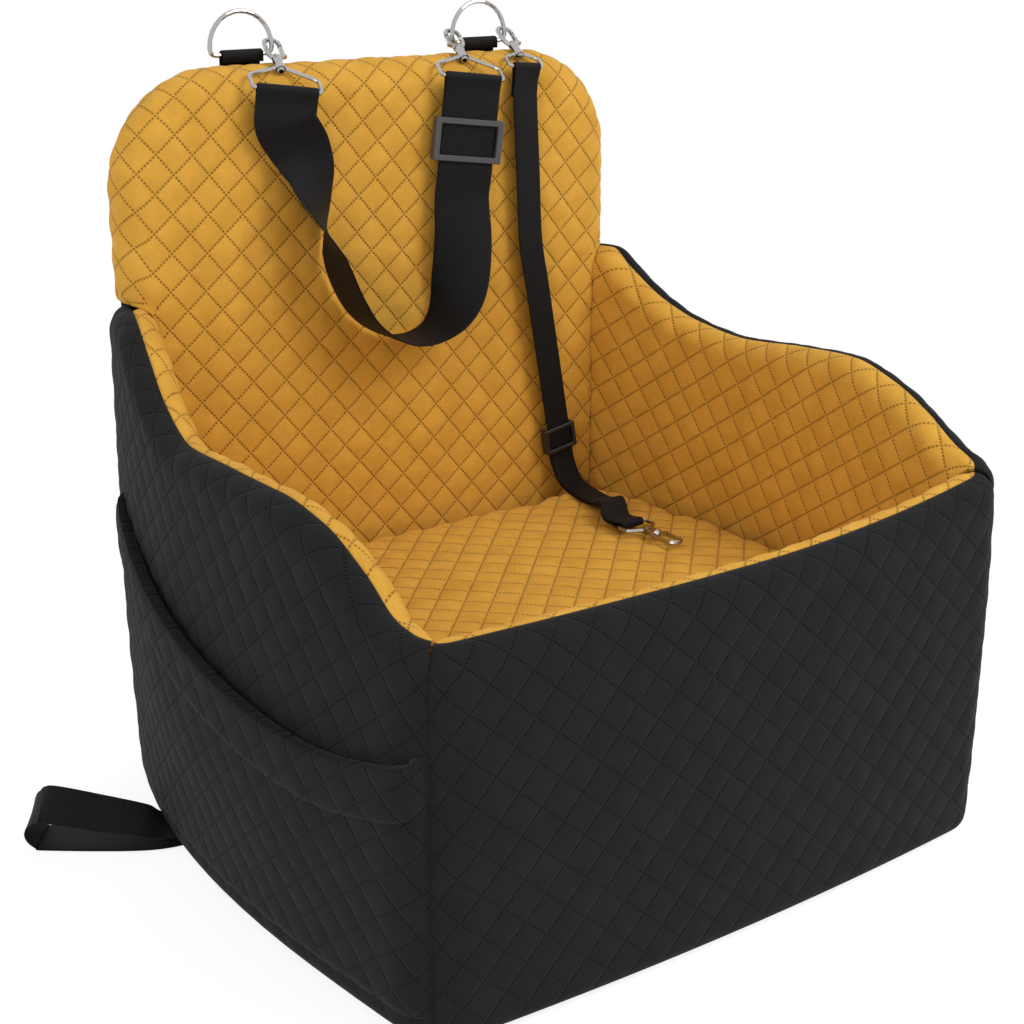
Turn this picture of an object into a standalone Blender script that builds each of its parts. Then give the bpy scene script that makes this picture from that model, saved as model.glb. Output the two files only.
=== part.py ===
"""Dog car seat: a padded booster tub with a tall backrest, a seat cushion, a shoulder strap and a tether.

Metres, +Z up. The front faces -Y, +X is on the right seen from the front, and the origin is at the
bottom centre. Every cover is a skin round a foam core, and every strap is one woven ribbon.
"""

import math

import bmesh
import bpy
from mathutils import Matrix, Vector

for item in list(bpy.data.objects):
    bpy.data.objects.remove(item, do_unlink=True)

# Tub
REAR = 0.245
SEAT_DEPTH = 0.507
HALF_FRONT = 0.268
HALF_REAR = 0.238
PLAN_BULGE = 0.035
PLAN_SKEW_share = 0.6
FRONT_BULGE = 0.011
BOW_END_share = 0.5
WALL = 0.038
BELLY = 0.005
FRONT_CORNER = 0.035
REAR_CORNER = 0.025
BASE_EDGE = 0.015
FRONT_HEIGHT = 0.283
REAR_HEIGHT = 0.408
SLOPE_share = 0.02
SKIN = 0.0025
FIT = 0.0004
SEAM = 0.0011
CORE_PLAY = 0.0014
SADDLE_PLAY = 0.0022
SADDLE_FILLET = 0.006
SADDLE_LIFT = 0.007
LEAST_SADDLE_share = 0.75
RIDGE_FLAT = 0.0020
BOTTOM_PANEL = 0.004
FLOOR_HEIGHT = 0.118

# Backrest
BACKREST = 0.050
BACKREST_HEIGHT = 0.586
BACKREST_CORNER = 0.090
RIM = 0.025
RIM_angles = [math.radians(degrees) for degrees in (-90, -53, -26, -3, 20, 45)]
TOP_RIM_angles = [math.radians(degrees) for degrees in (-90, -64, -40, -17, 4, 24)]
COVER_angles = [math.radians(degrees) for degrees in (90, 76, 62, 54)]
TOP_COVER_angles = [math.radians(degrees) for degrees in (90, 70, 50, 33)]
BASE_angles = [math.radians(degrees) for degrees in (15, 40, 65, 90)]

# Cushion
CUSHION_TOP = 0.186
CUSHION_CROWN = 0.005
CUSHION_EDGE = 0.020
CUSHION_PLAY = 0.004
CUSHION_CORNER = 0.050
CUSHION_DRAW = 0.004

# Pocket on the left wall
POCKET_GAP = 0.011
POCKET_BOTTOM = 0.030
POCKET_FILL = 1.4
POCKET_COLUMNS = range(0, 17)
MOUTH_FRONT = 0.215
MOUTH_LOW = 0.190
MOUTH_REAR = 0.324
MOUTH_LOW_share = 0.22
MOUTH_power = 1.7
HEM_HEIGHT = 0.038
HEM_SKIN = 0.0018

# Webbing and rings
WEB = 0.0016
SHOULDER_WIDTH = 0.050
TETHER_WIDTH = 0.025
LOOP_WIDTH = 0.040
TAB_WIDTH = 0.036
TAB_SPACING = 0.115
RING_WIRE = 0.0020
RING_HALF = 0.0275
RING_LEG = 0.0060
RING_CORNER = 0.0050
RING_RISE = 0.0080
CATCH_RISE = 0.0070

# Snap hook
HOOK_WIRE = 0.0020
EYE_HALF = 0.0062
EYE_TOP = 0.0342
STEM = 0.0017
HEAD = 0.0034
BARREL = 0.0042
COLLAR = 0.0042
BORE_PLAY = 0.0004
COLLAR_LOW = -0.0062
COLLAR_HIGH = -0.0006
GATE_THICK = 0.0028
PIVOT_X = 0.0030
PIVOT_Z = 0.0100
PIVOT_BOSS = 0.0022
PIN = 0.0009
PIN_LENGTH = 0.0062
TIP_Z = 0.0270

# Bails: half width, shoulder height and drop to the crossbar
BAIL_WIRE = 0.0017
WIDE_BAIL = (0.0284, 0.0165, 0.0332)
NARROW_BAIL = (0.0158, 0.0095, 0.0220)

# How the hooks hang: the slope over the crest, and the low hook's place and heading on the cushion
SLOPE = math.radians(30.0)
LOW_BAR = (0.146, 0.045)
LOW_HEADING = (0.08, -1.0, -0.02)

# Straps: where each leaves its bail, and the slider that it passes through
NECK = 0.011
TAIL = 0.026
BAR_DEEP = 0.0020
BAR_HALF = 0.0025
WRAP_BACK = 0.010
FRONT_BAR_share = 0.5
SHOULDER_BAR = 0.0050
SHOULDER_SLIDER_HEIGHT = 0.036
SHOULDER_SLIDER_DROP = 0.052
TETHER_BAR = 0.0036
TETHER_SLIDER_HEIGHT = 0.024
TETHER_SLIDER_Z = 0.236
RUN_END_share = 0.94

# Anchor loop: from under the left cover, out and back over the floor
LOOP_FROM_REAR = 0.139
LOOP_TUCK = 0.0018595
LOOP_TURN = (0.019, 0.006)
LOOP_RUN = (0.080, 0.050)
LOOP_RISE = 0.030

# Where the panels' columns stand
CREST_shares = (0.0, 0.09, 0.16, 0.24, 0.34, 0.46, 0.60, 0.70, 0.78, 0.855, 0.895, 1.0)
LEFT_CREST_shares = (0.0, 0.05, 0.25, 0.42, 0.49, 0.49, 0.47, 0.61, 0.82, 0.97, 1.0, 1.0)
RIGHT_CREST_shares = (0.14, 0.23, 0.38, 0.51, 0.59, 0.56, 0.51, 0.56, 0.67, 0.87, 1.0, 1.0)
COLUMN_shares = (0.20, 0.30, 0.41, 0.55, 0.67, 0.74, 0.80, 0.86, 0.92, 0.965, 1.0)
FRONT_shares = (0.0, 0.10, 0.22, 0.42, 0.62, 0.81)
MIDDLE_shares = (-0.72, -0.36, 0.0, 0.36, 0.72)
REAR_shares = (0.36, 0.64, 0.85, 1.0)
ACROSS_shares = (-1.0, -0.965, -0.925, -0.72, -0.36, 0.0, 0.36, 0.72, 0.925, 0.965, 1.0)

FRONT = REAR - SEAT_DEPTH
BACK_FACE = REAR - BACKREST
BACK_MID = REAR - BACKREST / 2
CORE = SKIN + CORE_PLAY
COLUMN_Y = [FRONT + (BACK_FACE - FIT - FRONT) * share for share in COLUMN_shares]
COLUMNS = len(FRONT_shares) + len(COLUMN_Y) + len(REAR_shares)
UNDERSIDE = BOTTOM_PANEL + FIT
LINING_LOW = FLOOR_HEIGHT + FIT
RING_Y = BACK_MID + RIM * math.sin(TOP_RIM_angles[-1])
SEAM_Z = BACKREST_HEIGHT - RIM + RIM * math.cos(TOP_RIM_angles[-1])
RING_Z = BACKREST_HEIGHT + RING_RISE
CATCH_Z = RING_Z + CATCH_RISE
CLAW_REACH = EYE_TOP - RING_WIRE - FIT * 3
FOLD = RING_WIRE + FIT + WEB / 2
FOLD_BAIL = BAIL_WIRE + FIT + WEB / 2
LAP = WEB + FIT * 2
BAR_NEAR = LAP + WEB / 2 + FIT * 1.5
WRAP = (BAR_DEEP + WEB) / 2 + FIT * 1.5


def collection(name):
    made = bpy.data.collections.new(name)
    bpy.context.scene.collection.children.link(made)
    return made


PARTS = collection("dog_car_seat")
CUTTERS = collection("cutters")


def material(name, colour, roughness, metallic=0.0):
    made = bpy.data.materials.new(name)
    made.use_nodes = True
    shader = made.node_tree.nodes["Principled BSDF"]
    shader.inputs["Base Color"].default_value = (*colour, 1.0)
    shader.inputs["Roughness"].default_value = roughness
    shader.inputs["Metallic"].default_value = metallic
    made.diffuse_color = (*colour, 1.0)
    return made


MUSTARD = material("mustard_velvet", (0.66, 0.35, 0.05), 0.85)
BLACK = material("black_quilt", (0.020, 0.020, 0.022), 0.90)
FOAM = material("foam", (0.80, 0.78, 0.66), 0.95)
WEBBING = material("black_webbing", (0.012, 0.012, 0.013), 0.75)
CHROME = material("chrome", (0.80, 0.80, 0.82), 0.12, 1.0)
PLASTIC = material("slider_plastic", (0.030, 0.030, 0.033), 0.45)


# Meshes


def add_object(name, mesh, finish, parent=None):
    made = bpy.data.objects.new(name, mesh)
    PARTS.objects.link(made)
    made.data.materials.clear()
    made.data.materials.append(finish)
    made.parent = parent
    return made


def mesh_from(name, build):
    """A mesh filled by build, which gets an empty bmesh."""
    bm = bmesh.new()
    build(bm)
    bmesh.ops.recalc_face_normals(bm, faces=bm.faces)
    mesh = bpy.data.meshes.new(name)
    bm.to_mesh(mesh)
    bm.free()
    return mesh


def ring_solid(name, rings, finish, parent=None):
    """A closed loft through rings of equal length, capped at both ends."""

    def build(bm):
        loops = [[bm.verts.new(point) for point in ring] for ring in rings]
        for low, high in zip(loops, loops[1:]):
            for i in range(len(low)):
                j = (i + 1) % len(low)
                bm.faces.new((low[i], low[j], high[j], high[i]))
        bm.faces.new(list(reversed(loops[0])))
        bm.faces.new(loops[-1])

    return add_object(name, mesh_from(name, build), finish, parent)


def panel(name, grid, outward, thickness, finish):
    """An open sheet of quads, given its thickness on the side away from outward."""

    def build(bm):
        rows = [[bm.verts.new(point) for point in row] for row in grid]
        for low, high in zip(rows, rows[1:]):
            for i in range(len(low) - 1):
                bm.faces.new((low[i], low[i + 1], high[i + 1], high[i]))

    mesh = mesh_from(name, build)
    middle = mesh.polygons[len(mesh.polygons) // 2]
    if middle.normal.dot(Vector(outward)) < 0:
        mesh.flip_normals()
    made = add_object(name, mesh, finish)
    shell = made.modifiers.new("thickness", "SOLIDIFY")
    shell.thickness = thickness
    shell.offset = -1.0
    shell.use_even_offset = True
    shell.use_quality_normals = True
    return made


def steps(start, end, count):
    return [start + (end - start) * i / (count - 1) for i in range(count)]


def smooth(t):
    t = min(max(t, 0.0), 1.0)
    return t * t * (3 - 2 * t)


# Shape of the tub


def share_of(y):
    return (y - FRONT) / SEAT_DEPTH


def half_width(share):
    bulge = 4 * PLAN_BULGE * share * (1 - share) * (1 + PLAN_SKEW_share * (share - 0.5))
    return HALF_FRONT + (HALF_REAR - HALF_FRONT) * share + bulge


def curve_through(places, values, where):
    """A smooth curve through (place, value) pairs that never overshoots them."""
    where = min(max(where, places[0]), places[-1])
    k = 0
    while k < len(places) - 2 and where > places[k + 1]:
        k += 1
    rates = [(values[i + 1] - values[i]) / (places[i + 1] - places[i]) for i in range(len(places) - 1)]

    def rate(i):
        if i == 0 or i == len(rates) or rates[i - 1] * rates[i] <= 0:
            return 0.0
        return 2 * rates[i - 1] * rates[i] / (rates[i - 1] + rates[i])

    span = places[k + 1] - places[k]
    t = (where - places[k]) / span
    start = values[k] * (1 + 2 * t) * (1 - t) ** 2 + rate(k) * span * t * (1 - t) ** 2
    end = values[k + 1] * t * t * (3 - 2 * t) - rate(k + 1) * span * t * t * (1 - t)
    return start + end


def wall_top(side, share):
    """Height of a side wall: low at the front, a soft hump, then a swoop up to the backrest."""
    crest_shares = LEFT_CREST_shares if side < 0 else RIGHT_CREST_shares
    return FRONT_HEIGHT + (REAR_HEIGHT - FRONT_HEIGHT) * curve_through(CREST_shares, crest_shares, share)


def front_top(share):
    """Height of the front wall, which rises towards its right end."""
    return FRONT_HEIGHT + (wall_top(1, 0.0) - FRONT_HEIGHT) * max(share, 0.0) ** 2


def bow(x, y):
    """How far the front of the tub bulges forward at one place."""
    across = min(abs(x) / half_width(share_of(y)), 1.0)
    back = (BOW_END_share - share_of(y)) / BOW_END_share
    return FRONT_BULGE * (1 - across**2) * smooth(back)


def soften(x, y, z):
    """Rounds the four upright corners of the tub and bows its front."""
    bowed = bow(x, y)
    front = y - FRONT < REAR - y
    radius = FRONT_CORNER if front else REAR_CORNER
    inward = half_width(share_of(y)) - abs(x)
    end = y - FRONT if front else REAR - y
    if inward < radius and end < radius:
        a = radius - inward
        b = radius - end
        shrink = max(a, b) / math.hypot(a, b)
        x -= math.copysign(a * (1 - shrink), x)
        y += b * (1 - shrink) if front else -b * (1 - shrink)
    return Vector((x, y - bowed, z))


def outer_profile(top, inset):
    """(depth into the wall, height) from the bottom edge, up the outside, to the ridge."""
    crest = WALL / 2
    points = []
    for turn in BASE_angles:
        reach = BASE_EDGE - inset
        points.append((BASE_EDGE - reach * math.sin(turn), BASE_EDGE - reach * math.cos(turn)))
    for t in steps(0, 1, 6)[1:-1]:
        height = BASE_EDGE + (top - crest - BASE_EDGE) * t
        points.append((inset - BELLY * math.sin(math.pi * t), height))
    for turn in steps(0, math.pi / 2, 4)[:-1]:
        reach = crest - inset
        points.append((crest - reach * math.cos(turn), top - crest + reach * math.sin(turn)))
    points.append((crest - RIDGE_FLAT, top - inset))
    if not inset:
        points.append((crest - FIT, top))
    return points


def inner_profile(top, inset, bottom):
    """(depth, height) from the ridge, down the inside, to bottom."""
    crest = WALL / 2
    points = [] if inset else [(crest + FIT, top)]
    points.append((crest + RIDGE_FLAT, top - inset))
    for turn in steps(math.pi / 2, 0, 4)[1:]:
        reach = crest - inset
        points.append((crest + reach * math.cos(turn), top - crest + reach * math.sin(turn)))
    for height in steps(top - crest, bottom, 4)[1:]:
        points.append((WALL - inset, height))
    return points


def side_y(column, depth):
    """Where a column of a side wall stands: the ones near the ends run to the mitres."""
    front = FRONT + max(depth, 0.0) + SEAM
    rear = REAR - min(max(depth, 0.0), WALL / 2) - SEAM
    if column < len(FRONT_shares):
        return front + (COLUMN_Y[0] - front) * FRONT_shares[column]
    column -= len(FRONT_shares)
    if column < len(COLUMN_Y):
        return COLUMN_Y[column]
    column -= len(COLUMN_Y)
    return COLUMN_Y[-1] + (rear - COLUMN_Y[-1]) * REAR_shares[column]


def side_point(side, y, depth, height):
    return soften(side * (half_width(share_of(y)) - depth), y, height)


def crest_drop(side, y, inset):
    """How much lower a core's crest lies than its inset, where the crest slopes."""
    share = share_of(y)
    rise = wall_top(side, share + SLOPE_share) - wall_top(side, share - SLOPE_share)
    slope = rise / (2 * SLOPE_share * SEAT_DEPTH)
    return inset * (math.hypot(slope, 1) - 1)


def side_column(side, column, half, inset, bottom):
    y = side_y(column, WALL / 2)
    top = wall_top(side, share_of(y)) - crest_drop(side, y, inset)
    profile = outer_profile(top, inset) if half == "outer" else inner_profile(top, inset, bottom)
    return [side_point(side, side_y(column, depth), depth, height) for depth, height in profile]


def front_point(share, depth, height):
    """A point of the front wall: share runs from -1 at the left mitre to 1 at the right."""
    reach = HALF_FRONT - max(depth, 0.0) - SEAM
    return soften(reach * share, FRONT + depth, height)


def front_column(share, half, inset, bottom):
    top = front_top(share)
    profile = outer_profile(top, inset) if half == "outer" else inner_profile(top, inset, bottom)
    return [front_point(share, depth, height) for depth, height in profile]


def lifted(points, low):
    return [Vector((p.x, p.y, max(p.z, low))) for p in points]


# Tub walls

SIDES = {"left": -1, "right": 1}


def make_side_wall(word, side):
    outer = [side_column(side, i, "outer", 0.0, 0.0) for i in range(COLUMNS)]
    panel(f"{word}_outer_cover", outer, (side, 0, 0), SKIN, BLACK)
    visible = COLUMNS - len(REAR_shares)
    inner = [side_column(side, i, "inner", 0.0, LINING_LOW) for i in range(visible)]
    panel(f"{word}_lining", inner, (-side, 0, 0), SKIN, MUSTARD)
    rings = []
    for i in range(COLUMNS):
        face = side_column(side, i, "outer", CORE, 0.0)
        back = side_column(side, i, "inner", CORE, UNDERSIDE)
        rings.append(lifted(face + back, UNDERSIDE))
    ring_solid(f"{word}_wall_foam", rings, FOAM)


def make_front_wall():
    outer = [front_column(share, "outer", 0.0, 0.0) for share in ACROSS_shares]
    panel("front_outer_cover", outer, (0, -1, 0), SKIN, BLACK)
    inner = [front_column(share, "inner", 0.0, LINING_LOW) for share in ACROSS_shares]
    panel("front_lining", inner, (0, 1, 0), SKIN, MUSTARD)
    rings = []
    for share in ACROSS_shares:
        face = front_column(share, "outer", CORE, 0.0)
        back = front_column(share, "inner", CORE, UNDERSIDE)
        rings.append(lifted(face + back, UNDERSIDE))
    ring_solid("front_wall_foam", rings, FOAM)


# Base


def tub_outline(depth, front_depth, rear, count=12):
    """A plan outline with softened corners, anticlockwise, at one depth into the side walls."""
    front = FRONT + front_depth
    inner = steps(front + FRONT_CORNER, rear - REAR_CORNER, count)
    places = [front, front + FRONT_CORNER / 3] + inner + [rear - REAR_CORNER / 3, rear]
    right = [(half_width(share_of(y)) - depth, y) for y in places]
    right.insert(0, (right[0][0] - FRONT_CORNER / 3, front))
    right.append((right[-1][0] - REAR_CORNER / 3, rear))
    right = [soften(x, y, 0.0) for x, y in right]
    middle = [soften((HALF_FRONT - depth) * share, front, 0.0) for share in MIDDLE_shares]
    return [(p.x, p.y) for p in middle + right] + [(-p.x, p.y) for p in reversed(right)]


def slab(name, outline, low, high, finish):
    rings = [[Vector((x, y, z)) for x, y in outline] for z in (low, high)]
    return ring_solid(name, rings, finish)


def make_base():
    inset = BASE_EDGE * (1 - math.sin(BASE_angles[0])) + SKIN / 2 + FIT * 3
    slab("bottom_panel", tub_outline(inset, inset, REAR - inset), 0.0, BOTTOM_PANEL, BLACK)
    wall = WALL + FIT
    core = tub_outline(wall, wall, BACK_FACE - FIT)
    slab("base_foam", core, UNDERSIDE, FLOOR_HEIGHT - SKIN - FIT, FOAM)
    slab("floor_lining", core, FLOOR_HEIGHT - SKIN, FLOOR_HEIGHT, BLACK)


# Backrest


def back_edge(y, inset):
    """Points (x, z) up the left edge and round the top corner, as far as the level top."""
    half = HALF_REAR - inset
    top = BACKREST_HEIGHT - inset
    radius = BACKREST_CORNER - inset
    points = []
    for turn in steps(0, math.pi / 2, 7):
        reach = math.sin(turn)
        points.append((-half + radius * (1 - math.cos(turn)), top - radius + radius * reach))
    return points


def saddle(y, inset, clear):
    """The left edge below the wings: between the side walls, then over the end of the wall's crest."""
    half = half_width(share_of(y))
    crest = WALL / 2
    reach = crest + clear
    centre = REAR_HEIGHT - crest
    edge = inset - HALF_REAR
    beyond = min(max(crest - half - edge, -reach), SADDLE_FILLET)
    last = math.acos(min(max(-beyond / reach, 0.0), LEAST_SADDLE_share))
    points = []
    for turn in steps(0, last, 5):
        points.append((-half + crest + reach * math.cos(turn), centre + reach * math.sin(turn)))
    end, top = points[-1]
    points.append(((end + edge) / 2, top + SADDLE_FILLET / 2))
    points.append((edge, top + SADDLE_FILLET))
    return points


def lining_edge(y, inset):
    """The left edge of the front: narrow between the side walls, full width above them."""
    over = saddle(y, inset, SADDLE_PLAY)
    lower = [(over[0][0], z) for z in steps(LINING_LOW, over[0][1], 4)[:-1]]
    return lower + over + back_edge(y, inset)


TOP_COLUMNS = 9


def level_rows(edge, y):
    """Rows of points across the backrest between each edge point and its mirror."""
    return [[Vector((x * t, y, z)) for t in steps(1, -1, TOP_COLUMNS)] for x, z in edge]


def around(edge, y):
    """The edge up the left, across the top and down the right."""
    left = [Vector((x, y, z)) for x, z in edge]
    top = [Vector((edge[-1][0] * t, y, edge[-1][1])) for t in steps(1, -1, TOP_COLUMNS)[1:-1]]
    right = [Vector((-p.x, y, p.z)) for p in reversed(left)]
    return left + top + right


def rim_place(turn, radius=RIM):
    """Depth y and inset of the rounded rim: turn is -90 degrees at the front, 90 at the back."""
    return BACK_MID + radius * math.sin(turn), RIM - radius * math.cos(turn)


def rim_ring(edge_of, side_turn, top_turn):
    """A ring round the rim; the turn that it lies at changes from the sides to the top."""
    y, inset = rim_place(side_turn)
    ring = []
    for i, point in enumerate(around(edge_of(y, inset), y)):
        t = smooth((point.z - BACKREST_HEIGHT + BACKREST_CORNER) / BACKREST_CORNER)
        y, inset = rim_place(side_turn + (top_turn - side_turn) * t)
        ring.append(around(edge_of(y, inset), y)[i])
    return ring


def grid_and_rim(name, rows, rims, outward, finish):
    """A front face made of rows, sewn to a strip that runs round its edge."""

    def build(bm):
        rows_made = [[bm.verts.new(point) for point in row] for row in rows]
        for low, high in zip(rows_made, rows_made[1:]):
            for i in range(len(low) - 1):
                bm.faces.new((low[i], low[i + 1], high[i + 1], high[i]))
        loop = [row[0] for row in rows_made[:-1]] + rows_made[-1]
        loop += [row[-1] for row in reversed(rows_made[:-1])]
        for rim in rims:
            outer = [bm.verts.new(point) for point in rim]
            for i in range(len(loop) - 1):
                bm.faces.new((loop[i], loop[i + 1], outer[i + 1], outer[i]))
            loop = outer

    mesh = mesh_from(name, build)
    if mesh.polygons[0].normal.dot(Vector(outward)) < 0:
        mesh.flip_normals()
    made = add_object(name, mesh, finish)
    shell = made.modifiers.new("thickness", "SOLIDIFY")
    shell.thickness = SKIN
    shell.offset = -1.0
    shell.use_even_offset = True
    return made


def make_backrest_lining():
    y, inset = rim_place(RIM_angles[0])
    rows = level_rows(lining_edge(y, inset), y)
    rims = [rim_ring(lining_edge, *turns) for turns in zip(RIM_angles[1:], TOP_RIM_angles[1:])]
    grid_and_rim("backrest_lining", rows, rims, (0, -1, 0), MUSTARD)


def base_steps():
    """(depth, height) of the rounded bottom edge, from the lowest point up."""
    turns = BASE_angles[:-1]
    return [(BASE_EDGE * (1 - math.sin(turn)), BASE_EDGE * (1 - math.cos(turn))) for turn in turns]


def make_back_cover():
    def edge(y, inset):
        heights = steps(BASE_EDGE, BACKREST_HEIGHT - BACKREST_CORNER, 7)[:-1]
        lower = [(inset - HALF_REAR, z) for z in heights]
        return lower + back_edge(y, inset)

    def corner(side, turn, depth, height):
        inward = depth + (RIM - depth) * (1 - 1 / math.tan(turn) if turn < math.pi / 2 else 1)
        y = REAR - depth
        return soften(side * (HALF_REAR - inward), y, height)

    y, inset = rim_place(COVER_angles[0])
    rows = level_rows(edge(y, inset), y)
    half = HALF_REAR - inset
    for depth, height in reversed(base_steps()):
        rows.insert(0, [Vector((-half * t, y - depth, height)) for t in steps(1, -1, TOP_COLUMNS)])
    rims = []
    for turn, top_turn in zip(COVER_angles[1:], TOP_COVER_angles[1:]):
        rim = rim_ring(edge, turn, top_turn)
        for depth, height in reversed(base_steps()):
            rim.insert(0, corner(-1, turn, depth, height))
            rim.append(corner(1, turn, depth, height))
        rims.append(rim)
    grid_and_rim("back_outer_cover", rows, rims, (0, 1, 0), BLACK)


def make_backrest_foam():
    rings = []
    for turn in RIM_angles + [math.radians(67), math.radians(90)]:
        y, inset = rim_place(turn, RIM - CORE)
        over = [(x, z + SADDLE_LIFT) for x, z in saddle(y, inset, SADDLE_PLAY * 3 + CORE)]
        beyond = max(BASE_EDGE - REAR + y, 0.0)
        low = max(UNDERSIDE, BASE_EDGE - math.sqrt(max((BASE_EDGE - CORE) ** 2 - beyond**2, 0.0)))
        left = [(over[0][0], z) for z in (low, FLOOR_HEIGHT)] + over + back_edge(y, inset)
        ring = [Vector((x, y, z)) for x, z in left]
        ring += [Vector((-p.x, y, p.z)) for p in reversed(ring)]
        rings.append(ring)
    ring_solid("backrest_foam", rings, FOAM)


# Seat cushion


def cushion_outline(inset, height, count=9):
    """The cushion's plan outline, drawn in by inset, with round corners."""
    front = FRONT + WALL + CUSHION_PLAY + inset
    rear = BACK_FACE - CUSHION_PLAY - inset
    radius = CUSHION_CORNER - inset / 2
    right = []
    for turn in steps(0, math.pi / 2, 5):
        y = front + radius * (1 - math.cos(turn))
        half = half_width(share_of(y)) - WALL - CUSHION_PLAY - inset
        right.append((half - radius * (1 - math.sin(turn)), y))
    for y in steps(front + radius, rear - radius, count - 4)[1:-1]:
        right.append((half_width(share_of(y)) - WALL - CUSHION_PLAY - inset, y))
    for turn in steps(math.pi / 2, 0, 5):
        y = rear - radius * (1 - math.cos(turn))
        half = half_width(share_of(y)) - WALL - CUSHION_PLAY - inset
        right.append((half - radius * (1 - math.sin(turn)), y))
    middle = [(right[0][0] * share, front) for share in MIDDLE_shares]
    left = [(-x, y) for x, y in reversed(right)]
    return [Vector((x, y - bow(x, y), height)) for x, y in middle + right + left]


def cushion_rings(skin):
    """Rings from the lower edge, up the drawn-in side, over the rounded edge and across the crown."""
    low = FLOOR_HEIGHT + SKIN + (FIT / 2 if skin else FIT * 2)
    edge = CUSHION_EDGE - skin
    rings = []
    side_top = CUSHION_TOP - CUSHION_EDGE
    for t in steps(0, 1, 4)[:-1]:
        inset = skin + CUSHION_DRAW * math.sin(math.pi * t)
        rings.append(cushion_outline(inset, low + (side_top - low) * t))
    for turn in steps(0, math.pi / 2, 4):
        inset = CUSHION_EDGE - edge * math.cos(turn)
        rings.append(cushion_outline(inset, side_top + edge * math.sin(turn)))
    for t in (0.35, 0.7, 1.0):
        inset = CUSHION_EDGE + (CUSHION_CORNER + CUSHION_EDGE) * t
        rise = CUSHION_CROWN * (1 - (1 - t) ** 2)
        rings.append(cushion_outline(inset, CUSHION_TOP - skin + rise))
    return rings


def make_cushion():
    rings = cushion_rings(0.0)

    def build(bm):
        loops = [[bm.verts.new(point) for point in ring] for ring in rings]
        for low, high in zip(loops, loops[1:]):
            for i in range(len(low)):
                j = (i + 1) % len(low)
                bm.faces.new((low[i], low[j], high[j], high[i]))
        bm.faces.new(loops[-1])

    cover = add_object("cushion_cover", mesh_from("cushion_cover", build), MUSTARD)
    if cover.data.polygons[-1].normal.z < 0:
        cover.data.flip_normals()
    shell = cover.modifiers.new("thickness", "SOLIDIFY")
    shell.thickness = SKIN
    shell.offset = -1.0
    shell.use_even_offset = True
    ring_solid("cushion_foam", cushion_rings(CORE), FOAM)
    low = FLOOR_HEIGHT + FIT
    rings = [cushion_outline(0.0, low), cushion_outline(0.0, low + SKIN - FIT * 1.5)]
    ring_solid("cushion_bottom_panel", rings, BLACK)


# Pocket


def mouth_height(share):
    """The sagging mouth of the pocket: high at the rear, low past the middle, up again in front."""
    if share < MOUTH_LOW_share:
        t = share / MOUTH_LOW_share
        return MOUTH_LOW + (MOUTH_FRONT - MOUTH_LOW) * (1 - t) ** 2
    t = (share - MOUTH_LOW_share) / (1 - MOUTH_LOW_share)
    return MOUTH_LOW + (MOUTH_REAR - MOUTH_LOW) * t**MOUTH_power


def pocket_point(y, height, lift):
    share = share_of(y)
    top = wall_top(-1, share) - WALL / 2
    belly = BELLY * math.sin(math.pi * (height - BASE_EDGE) / (top - BASE_EDGE))
    return soften(-half_width(share) - belly - lift, y, height)


def pocket_lift(y, t):
    """How far the pocket stands off: sewn down at its ends and bottom, open at the mouth."""
    front = side_y(POCKET_COLUMNS[0], 0.0)
    rear = side_y(POCKET_COLUMNS[-1], 0.0)
    across = math.sin(math.pi * (y - front) / (rear - front))
    return POCKET_GAP * math.sqrt(max(across, 0.0)) * smooth(t * POCKET_FILL)


def make_pocket():
    grid = []
    hem = []
    for y in [side_y(i, 0.0) for i in POCKET_COLUMNS]:
        top = mouth_height(share_of(y))
        column = []
        for t in steps(0, 1, 7):
            height = POCKET_BOTTOM + (top - POCKET_BOTTOM) * t
            column.append(pocket_point(y, height, pocket_lift(y, t) + SKIN + 2 * FIT))
        grid.append(column)
        strip = []
        for height in steps(top - HEM_HEIGHT, top, 4):
            t = (height - POCKET_BOTTOM) / (top - POCKET_BOTTOM)
            strip.append(pocket_point(y, height, pocket_lift(y, t) + SKIN + HEM_SKIN + 6 * FIT))
        hem.append(strip)
    panel("left_pocket", grid, (-1, 0, 0), SKIN, BLACK)
    panel("left_pocket_hem", hem, (-1, 0, 0), HEM_SKIN, BLACK)


# Webbing


def spline(points, count):
    """count points evenly spaced on a smooth curve through the given points."""
    ends = [points[0] * 2 - points[1]] + list(points) + [points[-1] * 2 - points[-2]]
    fine = []
    for a, b, c, d in zip(ends, ends[1:], ends[2:], ends[3:]):
        for i in range(16):
            t = i / 16
            bend = (2 * a - 5 * b + 4 * c - d) * t * t + (3 * b - a - 3 * c + d) * t**3
            fine.append(0.5 * (2 * b + (c - a) * t + bend))
    fine.append(points[-1].copy())
    lengths = [0.0]
    for p, q in zip(fine, fine[1:]):
        lengths.append(lengths[-1] + (q - p).length)
    out = []
    k = 0
    for want in steps(0, lengths[-1], count):
        while k < len(fine) - 2 and lengths[k + 1] < want:
            k += 1
        span = lengths[k + 1] - lengths[k]
        t = (want - lengths[k]) / span if span else 0.0
        out.append(fine[k].lerp(fine[k + 1], t))
    return out


def ribbon(name, path, across, width, finish=WEBBING, thickness=WEB, parent=None):
    """A flat strap: path is its middle line and across the direction of its width at each point."""
    rings = []
    for i, point in enumerate(path):
        ahead = path[min(i + 1, len(path) - 1)] - path[max(i - 1, 0)]
        side = across[i] - ahead * (across[i].dot(ahead) / ahead.length_squared)
        side = side.normalized() * (width / 2)
        up = side.cross(ahead).normalized() * (thickness / 2)
        rings.append([point + side + up, point - side + up, point - side - up, point + side - up])
    return ring_solid(name, rings, finish, parent)


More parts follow.
